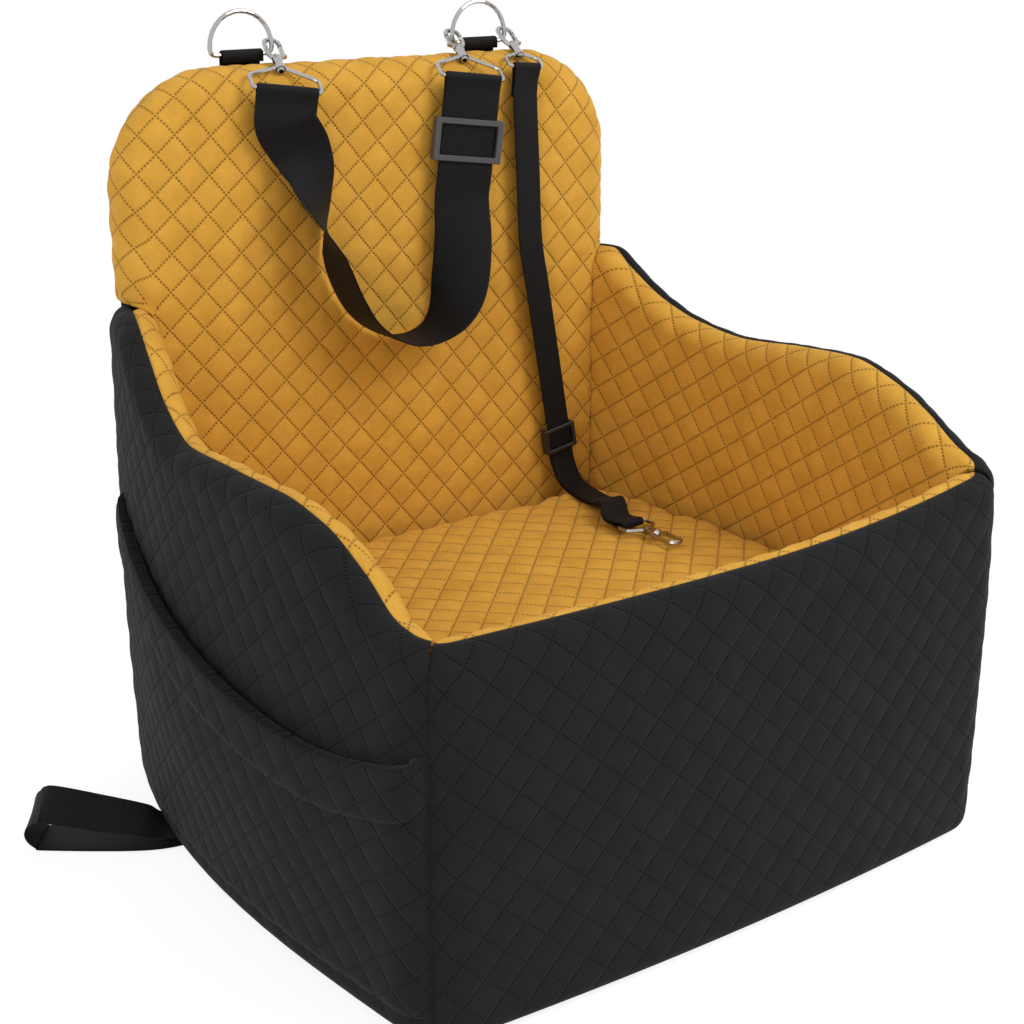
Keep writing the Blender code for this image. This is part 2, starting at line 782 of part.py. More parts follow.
def turn_round(centre, axis, start, radius, angle, count):
    """Points on an arc about an axis through centre, from centre + start."""
    return [centre + Matrix.Rotation(a, 3, axis) @ (start * radius) for a in steps(0, angle, count)]


# Rings and tabs


def make_ring(word, x):
    pivot = bpy.data.objects.new(f"{word}_ring_pivot", None)
    pivot.location = (x, RING_Y, RING_Z)
    PARTS.objects.link(pivot)
    corner = RING_CORNER
    path = []
    for turn in steps(0, math.pi / 2, 4):
        path.append((RING_HALF - corner + corner * math.sin(turn), corner - corner * math.cos(turn)))
    for turn in steps(0, math.pi, 15):
        path.append((RING_HALF * math.cos(turn), RING_LEG + RING_HALF * math.sin(turn)))
    for turn in steps(math.pi / 2, 0, 4):
        path.append((-RING_HALF + corner - corner * math.sin(turn), corner - corner * math.cos(turn)))
    wire_loop(f"{word}_d_ring", path, RING_WIRE, pivot)
    return pivot


def wire_loop(name, path, radius, parent):
    """A closed wire in its own XZ plane."""
    curve = bpy.data.curves.new(name, "CURVE")
    curve.dimensions = "3D"
    curve.bevel_depth = radius
    curve.bevel_resolution = 2
    line = curve.splines.new("POLY")
    line.points.add(len(path) - 1)
    for point, (x, z) in zip(line.points, path):
        point.co = (x, 0.0, z, 1.0)
    line.use_cyclic_u = True
    made = bpy.data.objects.new(name, curve)
    made.data.materials.append(CHROME)
    PARTS.objects.link(made)
    made.parent = parent
    return made


def make_tab(word, x):
    centre = Vector((x, RING_Y, RING_Z))
    axis = Vector((1, 0, 0))
    low = SEAM_Z + SEAM
    front = Vector((x, RING_Y - FOLD, low + FOLD))
    back = Vector((x, RING_Y + FOLD, low - FOLD / 2))
    arc = turn_round(centre, axis, Vector((0, -1, 0)), FOLD, -math.pi, 9)
    path = [front] + arc + [back]
    ribbon(f"{word}_tab", path, [axis] * len(path), TAB_WIDTH)


# Snap hooks


def turned(name, profile, steps_round=16):
    """A mesh turned about local Z from (radius, height) pairs, top to bottom."""
    curve = bpy.data.meshes.new(name)
    bm = bmesh.new()
    verts = [bm.verts.new((r, 0.0, z)) for r, z in profile]
    for a, b in zip(verts, verts[1:]):
        bm.edges.new((a, b))
    bm.to_mesh(curve)
    bm.free()
    made = bpy.data.objects.new(name, curve)
    CUTTERS.objects.link(made)
    screw = made.modifiers.new("turn", "SCREW")
    screw.steps = steps_round
    screw.render_steps = steps_round
    screw.use_merge_vertices = True
    screw.merge_threshold = PIN / 100
    return made


def tube(name, path, radius, resolution=2):
    curve = bpy.data.curves.new(name, "CURVE")
    curve.dimensions = "3D"
    curve.bevel_depth = radius
    curve.bevel_resolution = resolution
    curve.use_fill_caps = True
    line = curve.splines.new("POLY")
    line.points.add(len(path) - 1)
    for point, place in zip(line.points, path):
        point.co = (*place, 1.0)
    made = bpy.data.objects.new(name, curve)
    CUTTERS.objects.link(made)
    return made


def baked(source, name):
    """A welded mesh of what an object evaluates to, and the object is removed."""
    bpy.context.view_layer.update()
    graph = bpy.context.evaluated_depsgraph_get()
    mesh = bpy.data.meshes.new_from_object(source.evaluated_get(graph))
    mesh.name = name
    bm = bmesh.new()
    bm.from_mesh(mesh)
    bmesh.ops.remove_doubles(bm, verts=bm.verts, dist=PIN / 100)
    bmesh.ops.recalc_face_normals(bm, faces=bm.faces)
    bm.to_mesh(mesh)
    bm.free()
    bpy.data.objects.remove(source)
    return mesh


def cutter(name, mesh):
    made = bpy.data.objects.new(name, mesh)
    CUTTERS.objects.link(made)
    made.hide_render = True
    made.display_type = "WIRE"
    return made


def combined(name, base, *changes):
    """base after Boolean changes, each an operation and a mesh."""
    body = cutter(name + "_blank", base)
    tools = []
    for operation, mesh in changes:
        tool = cutter(name + "_tool", mesh)
        change = body.modifiers.new(operation.lower(), "BOOLEAN")
        change.operation = operation
        change.solver = "EXACT"
        change.object = tool
        tools.append(tool)
    mesh = baked(body, name)
    for tool in tools:
        bpy.data.objects.remove(tool)
    return mesh


def box_mesh(name, low, high):
    bm = bmesh.new()
    bmesh.ops.create_cube(bm, size=1.0)
    for vert in bm.verts:
        for k in range(3):
            vert.co[k] = low[k] if vert.co[k] < 0 else high[k]
    mesh = bpy.data.meshes.new(name)
    bm.to_mesh(mesh)
    bm.free()
    return mesh


def rod_mesh(name, radius, length, place, axis="Y", sides=12):
    bm = bmesh.new()
    bmesh.ops.create_cone(bm, cap_ends=True, segments=sides, radius1=radius, radius2=radius, depth=length)
    turn = Matrix.Rotation(math.pi / 2, 4, "X") if axis == "Y" else Matrix.Identity(4)
    bm.transform(Matrix.Translation(place) @ turn)
    mesh = bpy.data.meshes.new(name)
    bm.to_mesh(mesh)
    bm.free()
    return mesh


def hook_body_mesh():
    """A turned stem with its head and barrel, the claw's wire, and the fork that holds the gate."""
    dome = PIVOT_Z + BARREL
    neck = COLLAR_HIGH + BORE_PLAY / 2
    head_top = COLLAR_LOW - BORE_PLAY / 2
    head_low = head_top - STEM
    profile = [
        (0.0, dome),
        (BARREL * 0.6, dome - BARREL * 0.2),
        (BARREL, PIVOT_Z),
        (BARREL, PIVOT_Z - BARREL),
        (HEAD, neck + STEM),
        (HEAD, neck),
        (STEM, neck),
        (STEM, head_top),
        (HEAD, head_top),
        (HEAD, head_low + STEM / 2),
        (HEAD * 0.6, head_low),
        (0.0, head_low),
    ]
    stem = baked(turned("stem", profile), "stem")
    top = EYE_TOP + HOOK_WIRE - EYE_HALF
    path = [(-BARREL / 3, 0.0, PIVOT_Z - HOOK_WIRE)]
    path += [(-EYE_HALF * 0.8, 0.0, dome), (-EYE_HALF, 0.0, dome + BARREL)]
    for turn in steps(math.pi, 0, 9):
        path.append((EYE_HALF * math.cos(turn), 0.0, top + EYE_HALF * math.sin(turn)))
    path.append((EYE_HALF, 0.0, TIP_Z))
    claw = baked(tube("claw", path, HOOK_WIRE), "claw")
    slot_half = GATE_THICK / 2 + FIT / 2
    slot_low = (-HOOK_WIRE / 4, -slot_half, PIVOT_Z - PIVOT_BOSS - FIT)
    slot = box_mesh("slot", slot_low, (BARREL * 2, slot_half, dome + BARREL))
    hole = rod_mesh("hole", PIN + FIT, BARREL * 4, (PIVOT_X, 0.0, PIVOT_Z))
    return combined("hook_body", stem, ("UNION", claw), ("DIFFERENCE", slot), ("DIFFERENCE", hole))


def gate_mesh():
    """A flat lever round the pivot with a thumb tab outside, its end just under the claw's tip."""
    end = TIP_Z - FIT - PIVOT_Z
    rise = EYE_HALF - PIVOT_X
    outline = []
    for turn in steps(math.pi, 2 * math.pi, 8):
        outline.append((PIVOT_BOSS * math.cos(turn), PIVOT_BOSS * math.sin(turn)))
    thumb = PIVOT_BOSS + HOOK_WIRE * 2
    outline += [
        (PIVOT_BOSS + FIT, PIVOT_BOSS * 0.6),
        (thumb, PIVOT_BOSS * 1.4),
        (thumb + FIT, PIVOT_BOSS * 2.0),
        (thumb - HOOK_WIRE / 2, PIVOT_BOSS * 2.4),
        (rise + GATE_THICK / 2, PIVOT_BOSS * 3.0),
        (rise + GATE_THICK / 2, end - FIT * 3),
        (rise + GATE_THICK / 4, end - FIT),
        (rise - GATE_THICK / 2, end - FIT),
        (rise - GATE_THICK / 2, PIVOT_BOSS * 3.0),
        (-PIVOT_BOSS * 0.8, PIVOT_BOSS),
    ]
    curve = bpy.data.curves.new("gate", "CURVE")
    curve.dimensions = "2D"
    curve.fill_mode = "BOTH"
    curve.extrude = GATE_THICK / 2
    line = curve.splines.new("POLY")
    line.points.add(len(outline) - 1)
    for point, (x, z) in zip(line.points, outline):
        point.co = (x, z, 0.0, 1.0)
    line.use_cyclic_u = True
    made = bpy.data.objects.new("gate", curve)
    CUTTERS.objects.link(made)
    mesh = baked(made, "gate")
    mesh.transform(Matrix.Rotation(math.pi / 2, 4, "X"))
    hole = rod_mesh("gate_hole", PIN + FIT, GATE_THICK * 3, (0.0, 0.0, 0.0))
    return combined("gate", mesh, ("DIFFERENCE", hole))


def bail_mesh(size):
    """A wire loop for the strap, closed by the collar that the hook's stem turns in."""
    half, shoulder, drop = size
    low = COLLAR_LOW
    middle = (COLLAR_LOW + COLLAR_HIGH) / 2
    start = STEM + BORE_PLAY + BAIL_WIRE
    round_off = BAIL_WIRE * 1.6
    side = [(start, 0.0, middle), (half - round_off, 0.0, -shoulder + round_off / 2)]
    side += [(half, 0.0, -shoulder - round_off / 2), (half, 0.0, -drop + round_off)]
    side += [(half - round_off / 3, 0.0, -drop + round_off / 3), (half - round_off, 0.0, -drop)]
    path = side + [(-x, y, z) for x, y, z in reversed(side)]
    wire = baked(tube("bail_wire", path, BAIL_WIRE), "bail_wire")
    bore = STEM + BORE_PLAY
    ring = [(bore, low), (COLLAR, low), (COLLAR, COLLAR_HIGH), (bore, COLLAR_HIGH)]
    collar = baked(turned("collar", ring + ring[:1]), "collar")
    return combined("bail", collar, ("UNION", wire))


def hook_frame(word, catch, direction, twist):
    """An empty at the collar of a hook whose claw catches a ring at catch: local Z runs to the claw."""
    to_claw = -Vector(direction).normalized()
    flat = Vector((1, 0, 0))
    across = (flat - to_claw * flat.dot(to_claw)).normalized()
    normal = to_claw.cross(across)
    rest = Matrix((across, normal, to_claw)).transposed().to_4x4()
    place = Vector(catch) - to_claw * CLAW_REACH
    frame = bpy.data.objects.new(f"{word}_hook_frame", None)
    frame.matrix_world = Matrix.Translation(place) @ rest
    PARTS.objects.link(frame)
    swivel = bpy.data.objects.new(f"{word}_swivel", None)
    swivel.matrix_world = frame.matrix_world @ Matrix.Rotation(twist, 4, "Z")
    PARTS.objects.link(swivel)
    return frame, swivel


def make_hook(word, frame, swivel, bail, body, gate, pin):
    add_object(f"{word}_bail", bail, CHROME, frame)
    add_object(f"{word}_hook", body, CHROME, swivel)
    lever = add_object(f"{word}_gate", gate, CHROME, swivel)
    lever.location = (PIVOT_X, 0.0, PIVOT_Z)
    add_object(f"{word}_gate_pin", pin, CHROME, swivel)


# Hooks: where each catches its ring, how far it leans sideways, and its turn on the swivel

def lean(sideways):
    """A direction from the claw over the backrest's crest, down and forwards."""
    return Vector((sideways, -math.cos(SLOPE), -math.sin(SLOPE))).normalized()


HOOKS = {
    "shoulder_left": (-TAB_SPACING + RING_HALF, lean(-0.26), math.radians(0), WIDE_BAIL),
    "shoulder_right": (TAB_SPACING - RING_HALF, lean(-0.24), math.radians(180), WIDE_BAIL),
    "tether_top": (TAB_SPACING + RING_HALF, lean(-0.16), math.radians(0), NARROW_BAIL),
}


def cushion_height(x, y):
    """The height of the cushion's top away from its rounded edge."""
    front = FRONT + WALL + CUSHION_PLAY
    rear = BACK_FACE - CUSHION_PLAY
    half = half_width(share_of(y)) - WALL - CUSHION_PLAY
    inset = min(half - abs(x), y - front, rear - y) - CUSHION_EDGE
    t = min(max(inset / (CUSHION_CORNER + CUSHION_EDGE), 0.0), 1.0)
    return CUSHION_TOP + CUSHION_CROWN * (1 - (1 - t) ** 2)


def bail_frame(word):
    """Where a bail's crossbar lies: its centre, its direction, the way the strap leaves it and its back."""
    if word == "tether_low":
        heading = Vector(LOW_HEADING).normalized()
        x, y = LOW_BAR
        centre = Vector((x, y, cushion_height(x, y) + BARREL + 2 * FIT))
        along = (Vector((1, 0, 0)) - heading * heading.x).normalized()
        return centre, along, -heading, heading.cross(along) * -1
    catch_x, direction, _, size = HOOKS[word]
    centre = Vector((catch_x, RING_Y, CATCH_Z)) + direction * (CLAW_REACH + size[2])
    along = (Vector((1, 0, 0)) - direction * direction.x).normalized()
    down = Vector((0, 0, -1))
    down = (down - along * down.dot(along)).normalized()
    return centre, along, down, along.cross(down)


def fold(word, tail):
    """Middle line of a strap's turn round a crossbar, from its back to its front."""
    centre, along, down, back = bail_frame(word)
    points = []
    if tail:
        points.append(centre + down * TAIL + back * (LAP / 2))
        points.append(centre + down * NECK + back * (LAP / 2))
    for turn in steps(0, math.pi, 9):
        points.append(centre + back * (FOLD_BAIL * math.cos(turn)) - down * (FOLD_BAIL * math.sin(turn)))
    return points


def after_fold(word, reach):
    centre, along, down, back = bail_frame(word)
    return centre + down * reach - back * (LAP / 2)


# Sliders


def make_slider(word, place, along, across, width, height, bar):
    """A strap adjuster: end bars in front of the strap, its centre bar behind, rails at the sides."""
    pivot = bpy.data.objects.new(f"{word}_slider_place", None)
    up = along.normalized()
    across = (across - up * across.dot(up)).normalized()
    normal = up.cross(across)
    pivot.matrix_world = Matrix.Translation(place) @ Matrix((across, normal, up)).transposed().to_4x4()
    PARTS.objects.link(pivot)
    inner = width / 2 + FIT * 2
    outer = inner + bar
    gap = WEB / 2 + FIT
    front = gap + bar * FRONT_BAR_share
    deep = BAR_NEAR + BAR_DEEP
    frame = box_mesh("frame", (-outer, -front, -height / 2), (outer, deep, height / 2))
    window_low = (-inner, -front * 2, -height / 2 + bar)
    window = box_mesh("window", window_low, (inner, deep * 2, height / 2 - bar))
    behind = box_mesh("behind", (-inner, -gap, -height), (inner, deep * 2, height))
    centre = box_mesh("centre", (-inner - bar / 2, BAR_NEAR, -BAR_HALF), (inner + bar / 2, deep, BAR_HALF))
    mesh = combined("slider", frame, ("DIFFERENCE", window), ("DIFFERENCE", behind), ("UNION", centre))
    made = add_object(f"{word}_slider", mesh, PLASTIC, pivot)
    edge = made.modifiers.new("soft edges", "BEVEL")
    edge.width = bar / 8
    edge.segments = 1
    return pivot


def return_end(place, along, normal):
    """The strap's end going down before the slider's centre bar, round it and up behind it."""
    middle = BAR_NEAR + BAR_DEEP / 2
    points = []
    for turn in steps(0, math.pi, 7):
        off = middle - WRAP * math.cos(turn)
        points.append(place + normal * off - along * (BAR_HALF + WRAP * math.sin(turn)))
    points.append(place + normal * (middle + WRAP) + along * WRAP_BACK)
    return points


# Straps

SHOULDER_ROUTE = [
    (-0.0880, 0.1790, 0.5150, 0),
    (-0.0820, 0.1750, 0.4850, 30),
    (-0.0770, 0.1700, 0.4580, 62),
    (-0.0720, 0.1670, 0.4370, 84),
    (-0.0620, 0.1660, 0.4080, 90),
    (-0.0450, 0.1655, 0.3800, 90),
    (-0.0200, 0.1650, 0.3620, 90),
    (0.0040, 0.1650, 0.3570, 90),
    (0.0280, 0.1655, 0.3630, 97),
    (0.0440, 0.1665, 0.3800, 116),
    (0.0530, 0.1690, 0.4060, 142),
    (0.0590, 0.1735, 0.4400, 160),
]

SLIDER_STRETCH = (0.104, 0.088, 0.060, 0.034, NECK)

TETHER_RUN_HIGH = (0.1380, 0.1835, 0.4250)
TETHER_RUN_LOW = (0.1756, 0.1835, 0.2170)
TETHER_LANDING = [
    (0.1786, 0.1765, 0.0085),
    (0.1765, 0.1600, 0.0020),
    (0.1720, 0.1400, 0.0000),
    (0.1675, 0.1180, 0.0000),
    (0.1630, 0.1030, 0.0040),
    (0.1580, 0.0900, 0.0095),
    (0.1530, 0.0790, 0.0090),
    (0.1485, 0.0700, 0.0050),
]


def turned_across(degrees):
    turn = math.radians(degrees)
    return Vector((math.cos(turn), math.sin(turn), 0.0))


def plan_degrees(along):
    return math.degrees(math.atan2(along.y, along.x))


def back_side(path, across, i):
    """The unit normal of a ribbon on its back at one point of its path."""
    ahead = path[min(i + 1, len(path) - 1)] - path[max(i - 1, 0)]
    return across[i].cross(ahead).normalized()


def make_shoulder():
    start = fold("shoulder_left", True)
    left_along = bail_frame("shoulder_left")[1]
    centre, right_along, down, back = bail_frame("shoulder_right")
    guide = [(*after_fold("shoulder_left", reach), plan_degrees(left_along)) for reach in (NECK, TAIL)]
    guide += SHOULDER_ROUTE
    for reach in SLIDER_STRETCH:
        guide.append((*after_fold("shoulder_right", reach), plan_degrees(-right_along)))
    places, turns = guided(guide, 34)
    end = list(reversed(fold("shoulder_right", False)))
    path = start + places + end
    across = [left_along] * len(start) + [turned_across(turn) for turn in turns] + [-right_along] * len(end)
    ribbon("shoulder_webbing", path, across, SHOULDER_WIDTH)
    place = centre + down * SHOULDER_SLIDER_DROP - back * (LAP / 2)
    loop = [centre + back * FOLD_BAIL + down * FIT, centre + back * (LAP / 2) + down * NECK]
    loop.append(place + back * LAP - down * SHOULDER_SLIDER_HEIGHT / 2)
    loop += return_end(place, -down, back)
    ribbon("shoulder_webbing_return", loop, [-right_along] * len(loop), SHOULDER_WIDTH)
    make_slider("shoulder", place, -down, right_along, SHOULDER_WIDTH, SHOULDER_SLIDER_HEIGHT, SHOULDER_BAR)


def guided(guide, count):
    """A smooth path through points that also carry the turn of the strap's width."""
    scale = 10000
    fine = spline([Vector((x, y, z, degrees / scale)) for x, y, z, degrees in guide], count)
    return [p.to_3d() for p in fine], [p.w * scale for p in fine]


def lying(x, y, lift):
    inner = x - TETHER_WIDTH / 2
    return Vector((x, y, cushion_height(inner, y) + LAP + WEB / 2 + FIT + lift))


def make_tether():
    start = fold("tether_top", True)
    top_along = bail_frame("tether_top")[1]
    centre, low_along, away, below = bail_frame("tether_low")
    high, low = Vector(TETHER_RUN_HIGH), Vector(TETHER_RUN_LOW)
    guide = [(*after_fold("tether_top", NECK), 0), (*after_fold("tether_top", TAIL), 0)]
    guide.append((*after_fold("tether_top", TAIL).lerp(high, 0.5), 0))
    guide += [(*high.lerp(low, t), 0) for t in steps(0, 1, 6)[:-1] + [RUN_END_share, 1.0]]
    guide += [(*lying(*place), 0) for place in TETHER_LANDING]
    guide += [(*after_fold("tether_low", reach), 0) for reach in (NECK * 1.6, NECK)]
    places, _ = guided(guide, 58)
    end = list(reversed(fold("tether_low", False)))
    path = start + places + end
    side = Vector((1, 0, 0))
    across = [top_along] * len(start) + [side] * len(places) + [low_along] * len(end)
    ribbon("tether_webbing", path, across, TETHER_WIDTH)
    along = (high - low).normalized()
    place = low + along * ((TETHER_SLIDER_Z - low.z) / along.z)
    normal = along.cross(side).normalized()
    first = len(start)
    behind = []
    for i in range(first, first + len(places)):
        if path[i].z < TETHER_SLIDER_Z - TETHER_SLIDER_HEIGHT / 2:
            behind.append(path[i] + back_side(path, across, i) * LAP)
    loop = [centre + below * FOLD_BAIL + away * FIT] + list(reversed(behind))
    sides = [-side] * len(loop)
    loop += return_end(place, -along, normal)
    level = (side - along * side.dot(along)).normalized()
    sides += [-level] * (len(loop) - len(sides))
    ribbon("tether_webbing_return", loop, sides, TETHER_WIDTH)
    make_slider("tether", place, along, side, TETHER_WIDTH, TETHER_SLIDER_HEIGHT, TETHER_BAR)


# Anchor loop on the floor



def make_loop():
    low = FIT + WEB / 2
    root_y = REAR - LOOP_FROM_REAR
    root = Vector((LOOP_TUCK - half_width(share_of(root_y)), root_y, 0.0))
    bend, far = (root + Vector((-out, back, 0.0)) for out, back in (LOOP_TURN, LOOP_RUN))
    heading = (far - bend).normalized()
    rise = Vector((0, 0, 1))
    radius = LOOP_RISE / 2
    guide = [root + rise * low, bend + rise * low, far + rise * low]
    centre = far + rise * (low + radius)
    for turn in steps(-math.pi / 2, math.pi / 2, 7)[1:]:
        guide.append(centre + heading * (radius * math.cos(turn)) + rise * (radius * math.sin(turn)))
    guide.append(bend + rise * (low + LOOP_RISE * 0.62))
    guide.append(root.lerp(bend, 0.4) + rise * (low + LOOP_RISE * 0.30))
    guide.append(root + rise * (low + WEB + FIT))
    path = spline(guide, 34)
    across = []
    for point in path:
        t = smooth((root.x - point.x) / (root.x - bend.x))
        turn = Vector((0, 1, 0)).lerp(Vector((-heading.y, heading.x, 0)) * -1, t)
        across.append(turn)
    ribbon("anchor_loop", path, across, LOOP_WIDTH)


# Everything, centred


LOOSE = ("shoulder_webbing", "shoulder_slider", "tether_webbing", "tether_slider",
         "tether_low", "anchor_loop")


def bounds(objects):
    bpy.context.view_layer.update()
    graph = bpy.context.evaluated_depsgraph_get()
    places = []
    for item in objects:
        if item.type == "EMPTY":
            continue
        shown = item.evaluated_get(graph)
        mesh = shown.to_mesh()
        places += [shown.matrix_world @ vert.co for vert in mesh.vertices]
        shown.to_mesh_clear()
    low = Vector([min(p[k] for p in places) for k in range(3)])
    high = Vector([max(p[k] for p in places) for k in range(3)])
    return low, high


def centre_parts():
    """Moves the whole seat so that its origin is under the middle of what isn't a loose strap."""
    low, high = bounds([item for item in PARTS.objects if not item.name.startswith(LOOSE)])
    move = Vector(((low.x + high.x) / 2, (low.y + high.y) / 2, low.z))
    for item in PARTS.objects:
        if item.parent is None:
            item.location -= move
    return move


def make_all():
    for word, side in SIDES.items():
        make_side_wall(word, side)
    make_front_wall()
    make_base()
    make_backrest_lining()
    make_back_cover()
    make_backrest_foam()
    make_cushion()
    make_pocket()
    for word, side in SIDES.items():
        make_ring(word, side * TAB_SPACING)
        make_tab(word, side * TAB_SPACING)
    body = hook_body_mesh()
    gate = gate_mesh()
    pin = rod_mesh("pin", PIN, PIN_LENGTH, (PIVOT_X, 0.0, PIVOT_Z), sides=8)
    wide = bail_mesh(WIDE_BAIL)
    narrow = bail_mesh(NARROW_BAIL)
    for word, (x, direction, twist, size) in HOOKS.items():
        frame, swivel = hook_frame(word, (x, RING_Y, CATCH_Z), direction, twist)
        make_hook(word, frame, swivel, wide if size is WIDE_BAIL else narrow, body, gate, pin)
    centre, along, away, below = bail_frame("tether_low")
    catch = centre - away * (NARROW_BAIL[2] + CLAW_REACH)
    frame, swivel = hook_frame("tether_low", catch, away, 0.0)
    make_hook("tether_low", frame, swivel, narrow, body, gate, pin)
    make_shoulder()
    make_tether()
    make_loop()
    return centre_parts()


if __name__ == "__main__":
    make_all()
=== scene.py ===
import math

import bmesh
import bpy
import numpy as np
from mathutils import Matrix, Vector, noise


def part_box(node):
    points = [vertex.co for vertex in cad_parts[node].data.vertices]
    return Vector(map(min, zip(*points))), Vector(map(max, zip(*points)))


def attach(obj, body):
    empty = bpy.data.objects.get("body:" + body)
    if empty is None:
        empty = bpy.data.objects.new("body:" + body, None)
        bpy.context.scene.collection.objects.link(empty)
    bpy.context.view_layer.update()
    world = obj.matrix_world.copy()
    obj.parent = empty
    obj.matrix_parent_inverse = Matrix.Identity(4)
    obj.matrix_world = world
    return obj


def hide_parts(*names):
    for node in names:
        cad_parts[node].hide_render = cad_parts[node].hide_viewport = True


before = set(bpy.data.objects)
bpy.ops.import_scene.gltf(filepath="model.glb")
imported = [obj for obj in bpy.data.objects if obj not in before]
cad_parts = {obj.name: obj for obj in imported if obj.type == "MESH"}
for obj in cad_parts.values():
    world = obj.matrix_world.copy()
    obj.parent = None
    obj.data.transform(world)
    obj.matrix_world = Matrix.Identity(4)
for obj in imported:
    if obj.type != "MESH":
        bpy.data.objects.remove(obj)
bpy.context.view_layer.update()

# Sizes of the seat, in metres, repeated from the part's source

REAR = 0.245
SEAT_DEPTH = 0.507
HALF_FRONT = 0.268
HALF_REAR = 0.238
PLAN_BULGE = 0.035
PLAN_SKEW_SHARE = 0.6
FRONT_BULGE = 0.011
BOW_END_SHARE = 0.5
WALL = 0.038
FRONT_CORNER = 0.035
REAR_CORNER = 0.025
BASE_EDGE = 0.015
FRONT_HEIGHT = 0.283
REAR_HEIGHT = 0.408
CREST_SHARES = (0.0, 0.09, 0.16, 0.24, 0.34, 0.46, 0.60, 0.70, 0.78, 0.855, 0.895, 1.0)
LEFT_CREST_SHARES = (0.0, 0.05, 0.25, 0.42, 0.49, 0.49, 0.47, 0.61, 0.82, 0.97, 1.0, 1.0)
RIGHT_CREST_SHARES = (0.14, 0.23, 0.38, 0.51, 0.59, 0.56, 0.51, 0.56, 0.67, 0.87, 1.0, 1.0)
SKIN = 0.0025
FIT = 0.0004
FLOOR_HEIGHT = 0.118
BACKREST = 0.050
BACKREST_HEIGHT = 0.586
BACKREST_CORNER = 0.090
RIM = 0.025
CUSHION_TOP = 0.186
CUSHION_CROWN = 0.005
CUSHION_EDGE = 0.020
CUSHION_PLAY = 0.004
CUSHION_CORNER = 0.050
POCKET_GAP = 0.011
POCKET_FILL = 1.4
MOUTH_FRONT = 0.215
MOUTH_LOW = 0.190
MOUTH_REAR = 0.288
MOUTH_LOW_SHARE = 0.22
MOUTH_POWER = 1.7
HEM_HEIGHT = 0.038
HEM_SKIN = 0.0018

WEB = 0.0016
SHOULDER_WIDTH = 0.050
TETHER_WIDTH = 0.025
LOOP_WIDTH = 0.040
TAB_WIDTH = 0.036
TAB_SPACING = 0.115
RING_WIRE = 0.0020
RING_HALF = 0.0275
RING_RISE = 0.0080
CATCH_RISE = 0.0070
EYE_TOP = 0.0342
BARREL = 0.0042
BAIL_WIRE = 0.0017
SEAM = 0.0011
WIDE_BAIL = 0.0332
NARROW_BAIL = 0.0220

FRONT = REAR - SEAT_DEPTH
BACK_FACE = REAR - BACKREST
BACK_MID = REAR - BACKREST / 2
CREST = WALL / 2

# The part's own middle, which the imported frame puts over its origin

core_low, core_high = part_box("base_foam")
SHIFT = Vector(((core_low.x + core_high.x) / 2, core_high.y - (BACK_FACE - FIT), 0.0))

# Camera and light

LENS_MM = 62.76
CAMERA_PLACE = Vector((-0.795, -1.086, 0.715)) + SHIFT
CAMERA_TILT = math.radians(70.90)
CAMERA_TURN = math.radians(-35.71)


def add_camera():
    data = bpy.data.cameras.new("camera")
    data.lens = LENS_MM
    data.sensor_width = 36.0
    made = bpy.data.objects.new("camera", data)
    made.location = CAMERA_PLACE
    made.rotation_euler = (CAMERA_TILT, 0.0, CAMERA_TURN)
    bpy.context.scene.collection.objects.link(made)
    bpy.context.scene.camera = made


LAMPS = (
    ("key", (1.1, -1.5, 1.9), 1.4, 26.0),
    ("fill", (-1.9, -0.7, 1.2), 1.6, 10.0),
)
LAMP_TARGET = Vector((0.0, 0.0, 0.2))


def add_lamp(name, place, size, power):
    data = bpy.data.lights.new(name, "AREA")
    data.shape = "DISK"
    data.size = size
    data.energy = power
    made = bpy.data.objects.new(name, data)
    made.location = place
    heading = LAMP_TARGET - Vector(place)
    made.rotation_euler = heading.to_track_quat("-Z", "Y").to_euler()
    bpy.context.scene.collection.objects.link(made)


def link(tree, start, end):
    tree.links.new(start, end)


def object_place(tree):
    return tree.nodes.new("ShaderNodeTexCoord").outputs["Object"]


def seen_directly(tree):
    """1 for camera, glossy and transmission rays, which see a white room."""
    path = tree.nodes.new("ShaderNodeLightPath")
    first = math_node(tree, "MAXIMUM", path.outputs["Is Camera Ray"], path.outputs["Is Glossy Ray"])
    return math_node(tree, "MAXIMUM", first, path.outputs["Is Transmission Ray"])


def math_node(tree, operation, *values):
    node = tree.nodes.new("ShaderNodeMath")
    node.operation = operation
    for socket, value in zip(node.inputs, values):
        if isinstance(value, (int, float)):
            socket.default_value = value
        else:
            link(tree, value, socket)
    return node.outputs[0]


ROOM_LIGHT = 0.62
ROOM_WHITE = 1.0


def add_room():
    world = bpy.data.worlds.new("room")
    world.use_nodes = True
    tree = world.node_tree
    back = tree.nodes["Background"]
    back.inputs["Color"].default_value = (1.0, 1.0, 1.0, 1.0)
    seen = seen_directly(tree)
    strength = math_node(tree, "MULTIPLY_ADD", seen, ROOM_WHITE - ROOM_LIGHT, ROOM_LIGHT)
    link(tree, strength, back.inputs["Strength"])
    bpy.context.scene.world = world


FLOOR_SIZE = 12.0
FLOOR_Z = -0.0005
FLOOR_WHITE = 0.93
FLOOR_SHADE = 0.34
FLOOR_GLOW = 0.83
SHADE_NEAR = 0.30
SHADE_FAR = 0.75


